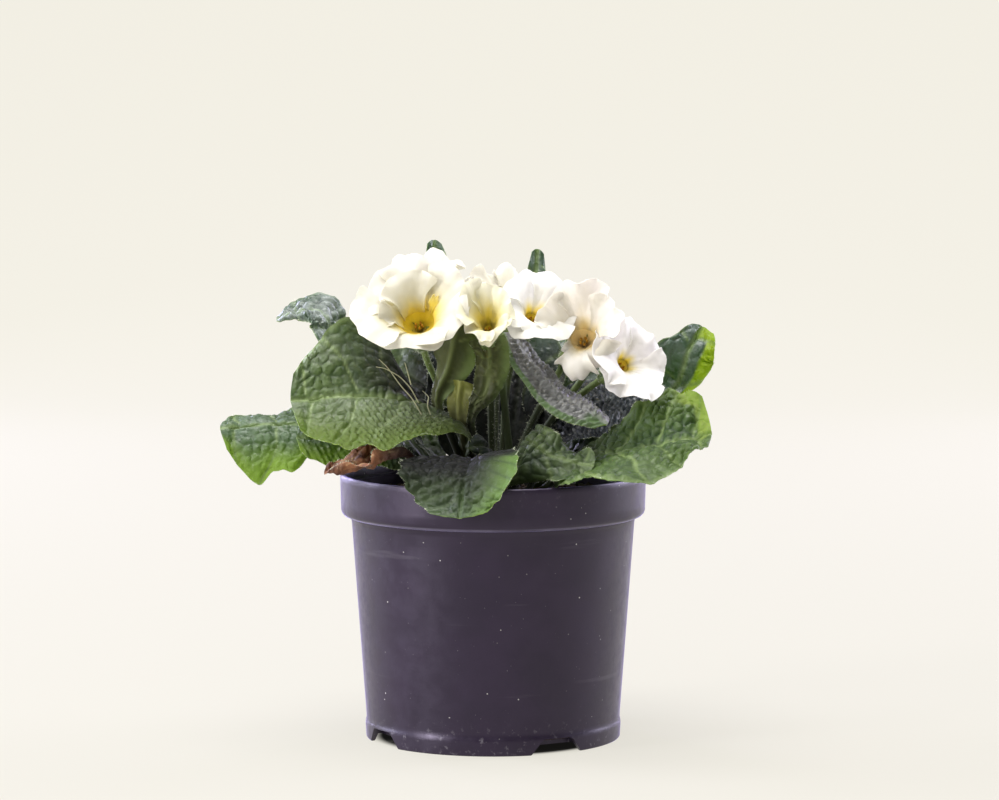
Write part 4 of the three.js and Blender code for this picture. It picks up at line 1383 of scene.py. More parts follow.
@dataclass(frozen=True)
class PetalRing:
    """A ring of petals round the mouth of a corolla.

    reach is their length, cup the climb along it in degrees, spin the angle of the first petal, step the
    angle between two, or 0 to share the circle, longer a share of the reach for each and eye the size
    of their golden eye, or 0 for the flower's own.
    """

    count: int
    reach: float
    cup: tuple[float, float, float, float]
    spin: float
    mouth: float = 2.2
    height: float = -0.5
    step: float = 0.0
    spread: float = 1.0
    notch: float = 1.0
    squeeze: float = 1.0
    wave: float = 1.0
    longer: tuple[float, ...] = ()
    eye: float = 0.0


@dataclass
class Flower:
    """A flower: its stalk with the calyx, and its corolla.

    at is the middle of the corolla's mouth, face the azimuth and elevation of its gaze, and stem the
    radius and azimuth where the stalk leaves the soil. The fields from stalk_radius on are the same
    for all flowers.
    """

    place: str
    at: Point
    face: Pair
    stem: Pair
    petals: PetalRing
    inner: tuple[PetalRing, ...] = ()
    finish: Look = Look.PETAL
    ruffle: float = 1.0
    eye: float = 0.34
    soil: SoilSize = field(default_factory=SoilSize)

    stalk_radius: float = 1.15
    stalk_depth: float = 7.0
    stalk_rows: int = 44
    stalk_sides: int = 14
    stalk_hairs: int = 170
    calyx_length: float = 13.0
    calyx_radius: float = 3.4
    calyx_sides: int = 60
    calyx_hairs: int = 260
    below: float = 1.6
    tooth: float = 3.4
    socket: float = 10.0
    hair_thickness: float = 0.05
    tube_mouth: float = 2.2
    throat_sides: int = 48
    anthers: int = 5
    petal_rows: int = 22
    petal_columns: int = 22
    cup_steps: int = 40

    @property
    def seed(self) -> int:
        """Number of the flower's pattern."""
        return name_seed(self.place)

    def axes(self) -> tuple[Array, Array, Array]:
        """Directions of the flower.

        Returns:
            The way it looks, and two directions across that.
        """
        azimuth, elevation = (math.radians(a) for a in self.face)
        flat = math.cos(elevation)
        ahead = np.array([flat * math.cos(azimuth), flat * math.sin(azimuth), math.sin(elevation)])
        level = np.array([-math.sin(azimuth), math.cos(azimuth), 0.0])
        return ahead, level, np.cross(ahead, level)

    def around(self, radius: Array, height: Array, angle: Array) -> Array:
        """Points round the flower's axis.

        Args:
            radius: Distances from the axis.
            height: Heights over the mouth.
            angle: Angles about the axis, in radians.

        Returns:
            The points.
        """
        ahead, level, rise = self.axes()
        outwards = level * np.cos(angle)[..., None] + rise * np.sin(angle)[..., None]
        return np.array(self.at) + outwards * radius[..., None] + ahead * height[..., None]

    def cup(self, ring: PetalRing, t: Array) -> tuple[Array, Array, Array]:
        """The curve that a petal's middle follows.

        Args:
            ring: Ring of petals.
            t: Shares of the petal's reach.

        Returns:
            Distance from the axis, height over the mouth and climb in radians.
        """
        steps = np.linspace(0, 1, self.cup_steps + 1)
        s = 1 - steps
        a, b, c, d = ring.cup
        climb = np.radians(s**3 * a + 3 * s * s * steps * b + 3 * s * steps**2 * c + steps**3 * d)
        move = ring.reach / self.cup_steps
        radius = ring.mouth + np.concatenate([[0], np.cumsum(np.cos(climb[:-1]) * move)])
        height = ring.height + np.concatenate([[0], np.cumsum(np.sin(climb[:-1]) * move)])
        return np.interp(t, steps, radius), np.interp(t, steps, height), np.interp(t, steps, climb)

    def petal_lift(self, ring: PetalRing, number: int, c: Array, row: Array) -> Array:
        """How far a petal waves and ruffles off its cup.

        Args:
            ring: Ring of petals.
            number: Number of the petal in it.
            c: Places across the petal, from -1 to 1.
            row: Shares of its reach.

        Returns:
            The heights.
        """
        seed = self.seed + ring.count
        rng = np.random.default_rng(seed * 31 + number)
        free = smooth(0.28, 0.7, row)
        beat = 0.6 * c + 0.37 * number + 0.1 * ring.spin
        wave = 1.2 * np.sin(TURN * beat) * (1 - c**4)
        fold = rng.uniform(0.5, 1.0) * np.cos(math.pi * 1.5 * c + rng.uniform(-0.6, 0.6))
        wide = value_noise(c * 2.8 + 7 * number, row * 2.2, ring.spin, seed + 1) * smooth(0.5, 1, row)
        narrow = value_noise(c * 5.5 + 5 * number, row * 3, ring.spin, seed + 9) * smooth(0.72, 1, row)
        frill = wide * 1.5 + narrow * 1.3
        crease = value_noise(c * 7 + 3 * number, row * 3.0, 5.0, seed + 2) * 0.35 * row
        calm = min(1.0, ring.reach / 14) ** 2
        return free * (1.25 * c + row * (wave + fold) * ring.wave) + (frill + crease) * self.ruffle * calm

    def add_petal(self, surface: Surface, ring: PetalRing, number: int) -> None:
        """Add one petal.

        Args:
            surface: Surface of the corolla.
            ring: Ring of petals.
            number: Number of the petal in it.
        """
        seed = self.seed + ring.count
        columns = np.linspace(-1, 1, self.petal_columns + 1)
        c, row = np.meshgrid(columns, np.linspace(0, 1, self.petal_rows + 1))
        notch = ring.notch * (0.1 * np.exp(-((c / 0.2) ** 2)) + 0.26 * np.abs(c) ** 2.6)
        nibble = 0.02 * value_noise(c * 5 + number, np.full(c.shape, seed * 0.37), 0.0, seed)
        longer = ring.longer[number] if ring.longer else 1.0
        reach = row - np.maximum(0, row - 0.4) / 0.6 * (notch + nibble) * smooth(0.3, 0.9, row)
        radius, height, climb = self.cup(ring, reach)
        radius = ring.mouth + (radius - ring.mouth) * longer
        height = ring.height + (height - ring.height) * longer
        spread = ring.spread * (1.02 + 0.24 * smooth(0.35, 0.95, row))
        step = math.radians(ring.step) if ring.step else TURN / ring.count
        middle = math.radians(ring.spin) + step * number
        angle = middle + c * spread * step / 2
        lift = self.petal_lift(ring, number, c, row)
        radius = radius - np.sin(climb) * lift
        flat, tall = radius * np.cos(angle) * ring.squeeze, radius * np.sin(angle)
        radius, angle = np.hypot(flat, tall), np.arctan2(tall, flat)
        centre = self.around(radius, height + np.cos(climb) * lift, angle)
        along = unit(np.gradient(centre, axis=0))
        across = unit(np.gradient(centre, axis=1))
        normal = unit(np.cross(along, across))
        half = (0.2 - 0.08 * smooth(0.75, 1, row))[..., None]
        start = (ring.mouth - self.tube_mouth) / ring.reach * 0.7
        eye = np.full(row.shape, ring.eye or self.eye)
        values = {"along": start + row * (1 - start), "across": c, "eye": eye}
        surface.shell(centre + normal * half, centre - normal * half, (0, 0, 0), values)

    def add_throat(self, surface: Surface) -> None:
        """Add the tube with its throat, which opens at the mouth of the petals.

        Args:
            surface: Surface of the corolla.
        """
        sides = self.throat_sides
        angle = np.linspace(0, TURN, sides, endpoint=False)
        rim, high = self.petals.mouth + 0.15, self.petals.height + 0.3
        mid, low = 0.35 * rim + 0.9, 0.3 * high - 2.4
        # Radius, height, share of the crumple and place along the petal's colours, from outside to inside.
        stations = (
            (1.45, -10, 0, 0.3), (1.45, -5, 0, 0.3), (1.7, -3.4, 0, 0.2), (mid + 0.35, low, 0.8, 0.15),
            (rim, high, 1, 0.14), (rim - 0.3, high + 0.1, 1, 0.12), (mid, low + 0.3, 0.8, 0.07),
            (1.35, -3.4, 0, 0.02), (0.9, -5.4, 0, 0.0),
        )
        noise = value_noise(3 * np.cos(angle), 3 * np.sin(angle), 0.0, self.seed + 5)
        crumple = noise * (rim - self.tube_mouth) * 0.42
        rings = np.stack([self.around(np.full(sides, r), h + crumple * k, angle) for r, h, k, _ in stations])
        along = np.repeat(np.array([place for *_, place in stations])[:, None], sides, 1)
        values = {"along": along, "across": np.zeros(along.shape), "eye": np.full(along.shape, self.eye)}
        surface.rings(rings, 0, values)

    def add_anthers(self, surface: Surface) -> None:
        """Add the anthers just inside the tube's mouth.

        Args:
            surface: Surface of the corolla.
        """
        rng = np.random.default_rng(self.seed)
        around = np.linspace(0, TURN, 8, endpoint=False)
        for k in range(self.anthers):
            angle = TURN * k / self.anthers + rng.uniform(-0.15, 0.15)
            rings = []
            for share in (0.0, 0.25, 0.5, 0.75, 1.0):
                thick = 0.12 + 0.42 * math.sin(math.pi * share)
                x = 1.05 + 0.2 * share + thick * 0.8 * np.cos(around)
                y = thick * np.sin(around)
                r, turn = np.hypot(x, y), np.arctan2(y, x)
                rings.append(self.around(r, np.full(8, -2.6 + 2.2 * share), angle + turn))
            surface.rings(np.array(rings), 1, {})

    def build_corolla(self, finishes: Finishes) -> None:
        """Make the corolla with its petals, throat, tube and anthers.

        Args:
            finishes: Materials by finish.
        """
        surface = Surface()
        for ring in (self.petals, *self.inner):
            for number in range(ring.count):
                self.add_petal(surface, ring, number)
        self.add_throat(surface)
        self.add_anthers(surface)
        materials = (finishes[self.finish], finishes[Look.POLLEN])
        name = "corolla_" + self.place
        surface.piece(name + "_petals", materials, [name], Slot.PETAL, 60)

    def stalk_path(self, t: Array) -> Array:
        """Points of the stalk's middle line.

        Args:
            t: Shares of the way from its buried foot to the calyx.

        Returns:
            The points.
        """
        ahead, _, _ = self.axes()
        foot = polar(*self.stem, float(self.soil.height(self.stem[0])) - self.stalk_depth)
        top = np.array(self.at) + ahead * (1.5 - self.calyx_length - self.below)
        span = float(np.linalg.norm(top - foot))
        lean = unit(unit(top - foot) + np.array([0, 0, 2.0]))
        p1, p2 = foot + lean * span * 0.45, top - ahead * span * 0.3
        t = t[:, None]
        return (1 - t) ** 3 * foot + 3 * (1 - t) ** 2 * t * p1 + 3 * (1 - t) * t**2 * p2 + t**3 * top

    def add_down(
        self, surface: Surface, places: Array, normals: Array, count: int, length: float,
        rng: np.random.Generator,
    ) -> None:
        """Add the down of a stalk or calyx.

        Args:
            surface: Surface that it joins.
            places: Places that hairs may stand on.
            normals: Normal at each.
            count: Number of hairs.
            length: Usual length.
            rng: Source of the draws.
        """
        places, normals = places.reshape(-1, 3), normals.reshape(-1, 3)
        pick = rng.integers(0, len(places), count)
        root = places[pick] + rng.normal(0, 0.15, (count, 3))
        lean = unit(normals[pick] + rng.normal(0, 0.3, (count, 3)))
        surface.hairs(root, lean, length, self.hair_thickness, 1, rng)

    def add_calyx(self, surface: Surface) -> Array:
        """Add the ribbed, five-toothed calyx.

        Args:
            surface: Surface that it joins.

        Returns:
            Rings of its outer face.
        """
        around = np.linspace(0, TURN, self.calyx_sides, endpoint=False)
        ridge = 0.5 + 0.5 * np.cos(5 * around)
        tip = np.abs(((5 * around / TURN) % 1) - 0.5) * 2
        rim = -self.below - self.tooth * (1 - tip**1.2)
        base = -self.below - self.calyx_length
        floor = -self.below - self.socket
        wide = self.calyx_radius
        shape = []
        ribs = []
        for share in np.linspace(0, 1, 18):
            bulge = 1.2 + (wide * 0.9 - 1.2) * smooth(0, 0.3, share) + wide * 0.12 * share
            risen = smooth(0, 0.2, share)
            ribbed = bulge * (0.86 + 0.14 * ridge * risen + 0.14 * (1 - risen))
            shape.append(self.around(ribbed, base + (rim - base) * share, around))
            ribs.append(ridge)
        outer = np.array(shape)
        for share in (1.0, 0.8, 0.5, 0.2):
            inside = np.full(self.calyx_sides, wide * 0.86 - 0.5 - 0.8 * (1 - share))
            shape.append(self.around(inside, floor + (rim - 0.1 - floor) * share, around))
            ribs.append(ridge * 0.4)
        surface.rings(np.array(shape), 0, {"rib": np.array(ribs)})
        return outer

    def build_stalk(self, finishes: Finishes) -> None:
        """Make the stalk with its calyx and their down.

        Args:
            finishes: Materials by finish.
        """
        surface = Surface()
        line = self.stalk_path(np.linspace(0, 1, self.stalk_rows))
        angle = np.linspace(0, TURN, self.stalk_sides, endpoint=False)
        radius = self.stalk_radius * (1 + 0.05 * np.cos(5 * angle))
        rings = swept(line, radius[None], self.stalk_sides, (0.31, 0.95, 0.05))
        surface.rings(rings, 0, {"rib": np.full(rings.shape[:2], 0.6)})
        rng = np.random.default_rng(sum(ord(c) for c in self.place))
        out = unit(rings - line[:, None])
        self.add_down(surface, rings[9:], out[9:], self.stalk_hairs, 1.1, rng)
        outer = self.add_calyx(surface)
        normal = unit(np.cross(np.gradient(outer, axis=1), np.gradient(outer, axis=0)))
        self.add_down(surface, outer[2:], normal[2:], self.calyx_hairs, 0.9, rng)
        name = "stalk_" + self.place
        materials = (finishes[Look.STALK], finishes[Look.DOWN])
        surface.piece(name + "_downy", materials, [name], Slot.STALK, 60)


FLOWERS = (
    Flower(
        "left_front", (-25, -30, 144.5), (262, 41), (7, 225),
        PetalRing(
            6, 17.5, (66, 50, 25, -4), 28, 5.6, 0.2, spread=1.34, notch=0.35,
            longer=(1, 1.04, 1.02, 1.22, 1, 0.98),
        ),
        inner=(
            PetalRing(1, 16, (82, 74, 54, 34), 120, 4.7, 0.3, step=104, notch=0.35, wave=0.6, eye=0.32),
            PetalRing(1, 12, (66, 60, 46, 24), 182, 5.2, 0.8, step=70, notch=0.5),
            PetalRing(1, 9, (72, 70, 66, 60), 44, 5.2, 0.0, step=15, notch=1.4, wave=0.1, eye=1.25),
        ),
        ruffle=1.15, eye=0.4,
    ),
    Flower(
        "middle_front", (-1.5, -34, 143), (268, 40), (6, 268),
        PetalRing(
            5, 15, (60, 68, 35, 15), 18, spread=1.3, notch=0.45, squeeze=0.74,
            longer=(0.95, 0.95, 1.2, 0.9, 0.8),
        ),
        eye=0.5, finish=Look.WARM,
    ),
    Flower(
        "middle", (13, -22, 145.5), (292, 36), (4, 310),
        PetalRing(5, 16.5, (72, 48, 26, -6), 40, spread=1.22, notch=0.5, longer=(1, 0.95, 0.95, 1.16, 0.92)),
        eye=0.26, finish=Look.SNOW,
    ),
    Flower(
        "right_front", (30.2, -28, 139), (258, 30), (8, 312),
        PetalRing(
            3, 11, (60, 22, -40, -95), 200, 4.0, step=60, notch=-0.4, spread=1.02, longer=(0.3, 1.12, 0.9),
        ),
        inner=(
            PetalRing(
                3, 17, (66, 58, 48, 34), 28, 4.2, step=62, spread=1.15, notch=0.7, longer=(1, 1.15, 1),
            ),
        ),
        finish=Look.FADED, eye=0.32,
    ),
    Flower(
        "right", (43.6, -20, 129.5), (302, 24), (5, 345),
        PetalRing(
            5, 16.8, (72, 45, 22, 5), 30, spread=1.22, notch=0.45, longer=(0.82, 0.95, 1.15, 1.15, 0.86),
        ),
        finish=Look.BLUSH, eye=0.22,
    ),
    Flower("left_top", (-22, 0, 151), (230, 74), (4, 190), PetalRing(5, 18, (75, 50, 35, 10), 15)),
    Flower("top", (4, 6, 147), (300, 78), (1, 60), PetalRing(5, 17, (75, 50, 35, 10), 50)),
    Flower("right_top", (30, 4, 139), (350, 62), (5, 20), PetalRing(5, 16, (75, 50, 35, 5), 0)),
    Flower("back_left", (-31, 31, 141), (140, 46), (7, 145), PetalRing(5, 17, (75, 50, 30, 0), 25)),
    Flower("back", (-2, 41, 141), (92, 44), (7, 92), PetalRing(5, 16, (75, 50, 30, 0), 60)),
    Flower("back_right", (33, 30, 134), (45, 44), (7, 55), PetalRing(5, 17, (75, 50, 30, 0), 35)),
)


@dataclass
class OldStalks:
    """Thin, pale stalks that earlier flowers have left between the leaves."""

    paths: tuple[tuple[Point, ...], ...] = (
        ((-24, -31, 114), (-27, -33, 119.5), (-31, -34, 124), (-35, -36, 130), (-38, -37, 133)),
        ((-25, -31, 118), (-27.5, -33, 123), (-31, -35, 127), (-36, -37, 130), (-39, -37.5, 130.5)),
        ((-21, -31, 114), (-22, -32, 117), (-21.5, -32, 120), (-23.5, -33, 122)),
        ((-27.5, -31, 124), (-28.5, -32, 128), (-29.5, -32, 131.5)),
    )
    radius: float = 0.22
    taper: float = 0.45
    rows: int = 40
    sides: int = 8
    rounding: int = 6

    def build(self, finishes: Finishes) -> None:
        """Make the stalks as one piece.

        Args:
            finishes: Materials by finish.
        """
        surface = Surface()
        for path in self.paths:
            stops = np.array(path)
            share = np.linspace(0, len(stops) - 1, self.rows)
            line = np.stack([np.interp(share, np.arange(len(stops)), stops[:, k]) for k in range(3)], -1)
            for _ in range(self.rounding):
                line[1:-1] = (line[:-2] + line[1:-1] + line[2:]) / 3
            thick = self.radius * (1 - self.taper * np.linspace(0, 1, self.rows))[:, None]
            rings = swept(line, thick, self.sides, (0.1, 0.95, 0.2))
            surface.rings(rings, 0, {"rib": np.full(rings.shape[:2], 0.9)})
        surface.piece("old_flower_stalks", (finishes[Look.OLD_STALK],), [], Slot.STALK, 60)


# ---- Pot and soil ----


def stepped(radius: float, height: float, steps: Sequence[Pair]) -> Section:
    """Places of a section, each given by its steps outwards and upwards from one place."""
    return [(radius + outwards, height + upwards) for outwards, upwards in steps]


@dataclass
class Pot:
    """Round nursery pot with a drawn-in rim, a groove, a foot band, drain notches and drain holes."""

    height: float = 91
    rim_radius: float = 52.5
    rim_height: float = 14.5
    shoulder_radius: float = 48.7
    foot_radius: float = 43.6
    foot_height: float = 6.5
    wall: float = 1.3
    floor_top: float = 4.2
    floor_bottom: float = 2.8
    axis_radius: float = 0.5
    notches: int = 4
    notch_first: float = -60
    notch_top: float = 10.5
    notch_bottom: float = 21
    notch_height: float = 5.2
    notch_reach: float = 4
    drain_radius: float = 4
    drain_ring: float = 22
    drain_top: float = 9
    drain_sides: int = 24
    drains: int = 5
    sides: int = 160
    crease: float = 32

    @property
    def shoulder(self) -> float:
        """Height of the rim's lower edge."""
        return self.height - self.rim_height

    def wall_radius(self, height: float) -> float:
        """Outside radius of the tapering wall at a height."""
        share = (height - self.foot_height) / (self.shoulder - self.foot_height)
        return self.foot_radius + (self.shoulder_radius - self.foot_radius) * share

    def profile(self) -> Section:
        """Section of the pot.

        Returns:
            Radius and height of its places, from the middle of the underside round to that of the floor.
        """
        top, shoulder, floor, wall = self.height, self.shoulder, self.floor_top, self.wall
        foot, rim, neck = self.foot_radius, self.rim_radius, self.wall_radius(self.shoulder)
        section = [(self.axis_radius, self.floor_bottom), (foot - 1.9, self.floor_bottom)]
        section += stepped(foot, 0.0, ((-1.45, 0.3), (-1.2, 0.0), (-0.1, 0.0), (0.15, 0.3)))
        section += stepped(foot, self.foot_height, ((0.4, -2.0), (0.36, -1.2), (0.22, -0.5), (0.04, 0.2)))
        for height in np.linspace(self.foot_height + 1.4, shoulder - 2.3, 14):
            section.append((self.wall_radius(height), float(height)))
        section += stepped(neck, shoulder, ((0.05, -1.1), (0.45, -0.5), (0.5, -0.1)))
        band = ((-2.2, 0.1), (-1.3, 0.45), (-0.6, 1.2), (-0.3, 2.2), (-0.22, 5), (-0.12, 9))
        lip = ((-0.02, -2.2), (0, -0.9), (-0.12, -0.35), (-0.42, -0.06), (-0.75, 0))
        inside = ((0.1, -0.08), (0, -0.4), (-0.05, -3.7), (-0.5, -4.0), (-0.52, -4.6), (-0.2, -4.9))
        section += stepped(rim, shoulder, band) + stepped(rim, top, lip) + stepped(rim - wall, top, inside)
        section += [(rim - wall - 0.5, shoulder + 2.4), (neck - wall, shoulder - 0.5)]
        section += [(foot - wall - 0.3, floor + 0.3), (foot - wall - 0.7, floor), (self.axis_radius, floor)]
        return section

    def build(self, finishes: Finishes) -> None:
        """Make the pot and cut its notches and drain holes.

        Args:
            finishes: Materials by finish.
        """
        surface = Surface()
        surface.rings(turned(np.array(self.profile()), self.sides), 0, {})
        pot = surface.piece("pot_body", (finishes[Look.PLASTIC],), ["pot"], Slot.PLASTIC, self.crease)
        cutters = Surface()
        for k in range(self.notches):
            self.add_notch(cutters, math.radians(self.notch_first + 360 / self.notches * k))
        around = np.linspace(0, TURN, self.drain_sides, endpoint=False)
        for k in range(self.drains):
            centre = polar(self.drain_ring, 360 * k / self.drains, 0)
            drill = np.zeros((2, self.drain_sides, 3))
            drill[..., 0] = centre[0] + self.drain_radius * np.cos(around)
            drill[..., 1] = centre[1] + self.drain_radius * np.sin(around)
            drill[1, :, 2] = self.drain_top
            cutters.rings(drill, 0, {})
        self.cut(pot, cutters)

    def add_notch(self, cutters: Surface, azimuth: float) -> None:
        """Add the wedge that cuts one drain notch out of the foot.

        Args:
            cutters: Surface of the cutters.
            azimuth: Where the notch is, in radians.
        """
        out = np.array([math.cos(azimuth), math.sin(azimuth), 0])
        side = np.array([-math.sin(azimuth), math.cos(azimuth), 0])
        up = np.array([0, 0, 1.0])
        low, high, top = self.notch_bottom / 2, self.notch_top / 2, self.notch_height
        section = [(-low, -1.0), (low, -1.0), (high + 0.9, top - 0.7), (high, top), (-high, top)]
        section += [(-high - 0.9, top - 0.7)]
        ends = (self.foot_radius + self.notch_reach, self.foot_radius - self.notch_reach)
        rings = [[out * r + side * a + up * b for a, b in section] for r in ends]
        cutters.rings(np.array(rings)[:, ::-1], 0, {})

    def cut(self, pot: Piece, cutters: Surface) -> None:
        """Cut the pot and keep the result as its mesh.

        Args:
            pot: The pot.
            cutters: What is cut out of it.
        """
        tool = placed("cutters", cutters.mesh("cutters"))
        modifier = pot.modifiers.new("cut", "BOOLEAN")
        modifier.object = tool
        modifier.solver = "EXACT"
        depsgraph = bpy.context.evaluated_depsgraph_get()
        made = bpy.data.meshes.new_from_object(pot.evaluated_get(depsgraph))
        pot.modifiers.clear()
        pot.data = made
        made.set_sharp_from_angle(angle=math.radians(self.crease))
        bpy.data.objects.remove(tool)


@dataclass
class Soil:
    """The root ball with its crumbly top."""

    size: SoilSize = field(default_factory=SoilSize)
    pot: Pot = field(default_factory=Pot)
    sides: int = 120
    crumbs: int = 900
    seed: int = 11

    @property
    def edge(self) -> float:
        """Radius of the soil's top."""
        return self.pot.rim_radius - self.pot.wall - 1.1

    def build(self, finishes: Finishes) -> None:
        """Make the soil.

        Args:
            finishes: Materials by finish.
        """
        pot, edge = self.pot, self.edge
        room = pot.wall + 0.6
        bottom = pot.floor_top + 0.3
        sides = [(0.5, bottom), (pot.wall_radius(bottom) - room - 0.2, bottom)]
        sides += [(pot.wall_radius(h) - room, h) for h in np.linspace(bottom + 6, pot.shoulder - 0.4, 6)]
        sides += [(edge - 0.6, pot.shoulder + 3.2)]
        tops = [(float(r), float(self.size.height(r)) - 0.3) for r in np.linspace(edge, 0.6, 34)]
        rings = turned(np.array(sides + tops), self.sides)
        top = slice(len(sides), None)
        x, y = rings[top, :, 0], rings[top, :, 1]
        lumps = value_noise(x / 5, y / 5, 0, 3) * 0.9 + value_noise(x / 2, y / 2, 0, 4) * 0.45
        rings[top, :, 2] += lumps * smooth(0, 4, edge - np.hypot(x, y))
        surface = Surface()
        surface.rings(rings, 0, {})
        self.add_crumbs(surface)
        surface.piece("soil_top", (finishes[Look.PEAT],), ["soil"], Slot.PEAT, 70)

    def add_crumbs(self, surface: Surface) -> None:
        """Strew loose crumbs and short fibres over the top.

        Args:
            surface: Surface of the soil.
        """
        rng = np.random.default_rng(self.seed)
        gold = (1 + math.sqrt(5)) / 2
        around = [np.roll((x, y * gold, 0), k) for k in range(3) for y in (1, -1) for x in (-1, 1)]
        corners = np.array(around) / math.hypot(1, gold)
        faces = np.array(
            [(0, 11, 5), (0, 5, 1), (0, 1, 7), (0, 7, 10), (0, 10, 11), (1, 5, 9), (5, 11, 4), (11, 10, 2),
             (10, 7, 6), (7, 1, 8), (3, 9, 4), (3, 4, 2), (3, 2, 6), (3, 6, 8), (3, 8, 9), (4, 9, 5),
             (2, 4, 11), (6, 2, 10), (8, 6, 7), (9, 8, 1)]
        )
        for _ in range(self.crumbs):
            radius = self.edge * 0.965 * math.sqrt(rng.random())
            turn = rng.uniform(0, TURN)
            size = rng.uniform(0.4, 1.5) ** 1.3
            stretch = np.array([rng.uniform(0.7, 1.9), rng.uniform(0.6, 1.1), rng.uniform(0.5, 0.9)]) * size
            shape = corners * stretch * rng.uniform(0.8, 1.2, (12, 1))
            yaw = rng.uniform(0, TURN)
            c, s = math.cos(yaw), math.sin(yaw)
            spin = np.array([[c, -s, 0], [s, c, 0], [0, 0, 1]])
            centre = np.array([radius * math.cos(turn), radius * math.sin(turn), self.size.height(radius)])
            surface.add(shape @ spin.T + centre, faces, 0, {})


# ---- Stage ----


@dataclass(frozen=True)
class Lamp:
    """A soft area light: where it hangs, its width and height in metres, and its power in watts."""

    name: str
    place: Point
    size: Pair
    power: float
    colour: Colour

    def hang(self, target: Vector) -> None:
        """Hang the light so that it looks at a place.

        Args:
            target: Place in metres.
        """
        data = bpy.data.lights.new(self.name, "AREA")
        data.shape = "RECTANGLE"
        data.size, data.size_y = self.size
        data.energy = self.power
        data.color = self.colour
        lamp = placed(self.name, data)
        lamp.location = self.place
        lamp.rotation_euler = (target - Vector(self.place)).to_track_quat("-Z", "Y").to_euler()


LAMPS = (
    Lamp("light_top", (-0.1, -0.05, 1.25), (0.9, 0.8), 23, (1.0, 0.99, 0.97)),
    Lamp("light_left", (-1.1, 0.35, 0.6), (0.5, 1.1), 23, (0.83, 0.85, 1.0)),
    Lamp("light_right", (1.1, 0.45, 0.6), (0.5, 1.1), 17, (0.85, 0.84, 1.0)),
    Lamp("rim_left", (-0.72, 1.05, 0.45), (0.3, 0.9), 16, (0.62, 0.58, 1.0)),
    Lamp("rim_right", (0.72, 1.05, 0.45), (0.3, 0.9), 11, (0.64, 0.56, 1.0)),
    Lamp("light_strip", (-1.0, -0.62, 0.42), (0.22, 0.84), 14, (1.0, 0.98, 0.98)),
    Lamp("light_front", (-0.1, -1.0, 0.95), (1.0, 0.6), 7, (1.0, 0.99, 0.97)),
)


@dataclass
class Stage:
    """Plain pale floor that curves up into a backdrop, soft lights and the camera.

    Its sizes are in metres, and the focus in millimetres from the pot's axis.
    """

    paper: Colour = (0.08, 0.078, 0.073)
    haze: Colour = (0.81, 0.785, 0.7)
    air: Colour = (0.95, 0.93, 0.88)
    air_strength: float = 0.2
    half_width: float = 4.0
    front: float = -3.0
    bend_start: float = 1.2
    bend_radius: float = 0.8
    top: float = 3.5
    lamp_target: float = 0.1
    distance: float = 1.4
    elevation: float = 5.2
    focus: Point = (2.2, 0.0, 116.0)
    lens: float = 147.1
    sensor: float = 36
    clip_end: float = 50

    def paper_finish(self) -> Material:
        """The floor's paper, which glows a little, less towards the pot and hardly at all under it, as
        painted shadow.

        Returns:
            The material.
        """
        paint = Paint("studio_paper")
        colour = paint.mix(paint.noise(300, 2), self.paper, tuple(c * 0.97 for c in self.paper))
        flat = paint.vector("MULTIPLY", paint.place, (1.0, 1.0, 0.0)).outputs[0]
        far = paint.vector("LENGTH", flat).outputs["Value"]
        from_pot = paint.vector("SUBTRACT", flat, (*SHIFT, 0.0)).outputs[0]
        away = paint.vector("LENGTH", from_pot).outputs["Value"]
        # Painted shadow: the glow is taken away under the pot and dimmed towards it, which both evens out the
        # lamps' light and darkens a soft shadow round the pot.
        painted_shadow_factor = paint.span(away, 0.038, 0.0425, 0.01, 1.0)
        strength = paint.times(paint.span(far, 0.1, 1.5, 0.85, 1.0), painted_shadow_factor)
        shader = paint.shader(
            Base_Color=colour, Roughness=0.95, Specular_IOR_Level=0.0, Emission_Color=self.haze,
            Emission_Strength=strength,
        )
        return paint.done(shader)

    def build_floor(self) -> None:
        """Make the floor and the backdrop."""
        radius, start = self.bend_radius, self.bend_start
        bend = [(self.front, 0.0), (start, 0.0)]
        for a in np.linspace(0.1, math.pi / 2, 14):
            bend.append((start + radius * math.sin(a), radius - radius * math.cos(a)))
        bend.append((start + radius, self.top))
        mesh = bpy.data.meshes.new("studio_floor")
        points = [(x, y, z) for y, z in bend for x in (-self.half_width, self.half_width)]
        faces = [(2 * i, 2 * i + 1, 2 * i + 3, 2 * i + 2) for i in range(len(bend) - 1)]
        mesh.from_pydata(points, [], faces)
        mesh.materials.append(self.paper_finish())
        mesh.shade_smooth()
        floor = placed("studio_floor", mesh)

    def build_lights(self) -> None:
        """Hang the lights and set the air round them."""
        for lamp in LAMPS:
            lamp.hang(Vector((*SHIFT, self.lamp_target)))
        world = bpy.data.worlds.new("studio_air")
        world.use_nodes = True
        back = world.node_tree.nodes["Background"]
        back.inputs["Color"].default_value = (*self.air, 1)
        back.inputs["Strength"].default_value = self.air_strength
        bpy.context.scene.world = world

    def build_camera(self) -> None:
        """Set up the camera."""
        data = bpy.data.cameras.new("camera")
        data.lens = self.lens
        data.sensor_width = self.sensor
        data.clip_end = self.clip_end
        camera = placed("camera", data)
        angle = math.radians(self.elevation)
        back = Vector((0, -math.cos(angle), math.sin(angle)))
        target = Vector(self.focus) * MM + Vector((*SHIFT, 0))
        camera.location = target + back * self.distance
        camera.rotation_euler = (-back).to_track_quat("-Z", "Y").to_euler()
        bpy.context.scene.camera = camera

    def build(self) -> None:
        """Set the whole stage."""
        self.build_floor()
        self.build_lights()
        self.build_camera()
        bpy.context.scene.view_settings.view_transform = "Standard"


# ---- Everything together ----


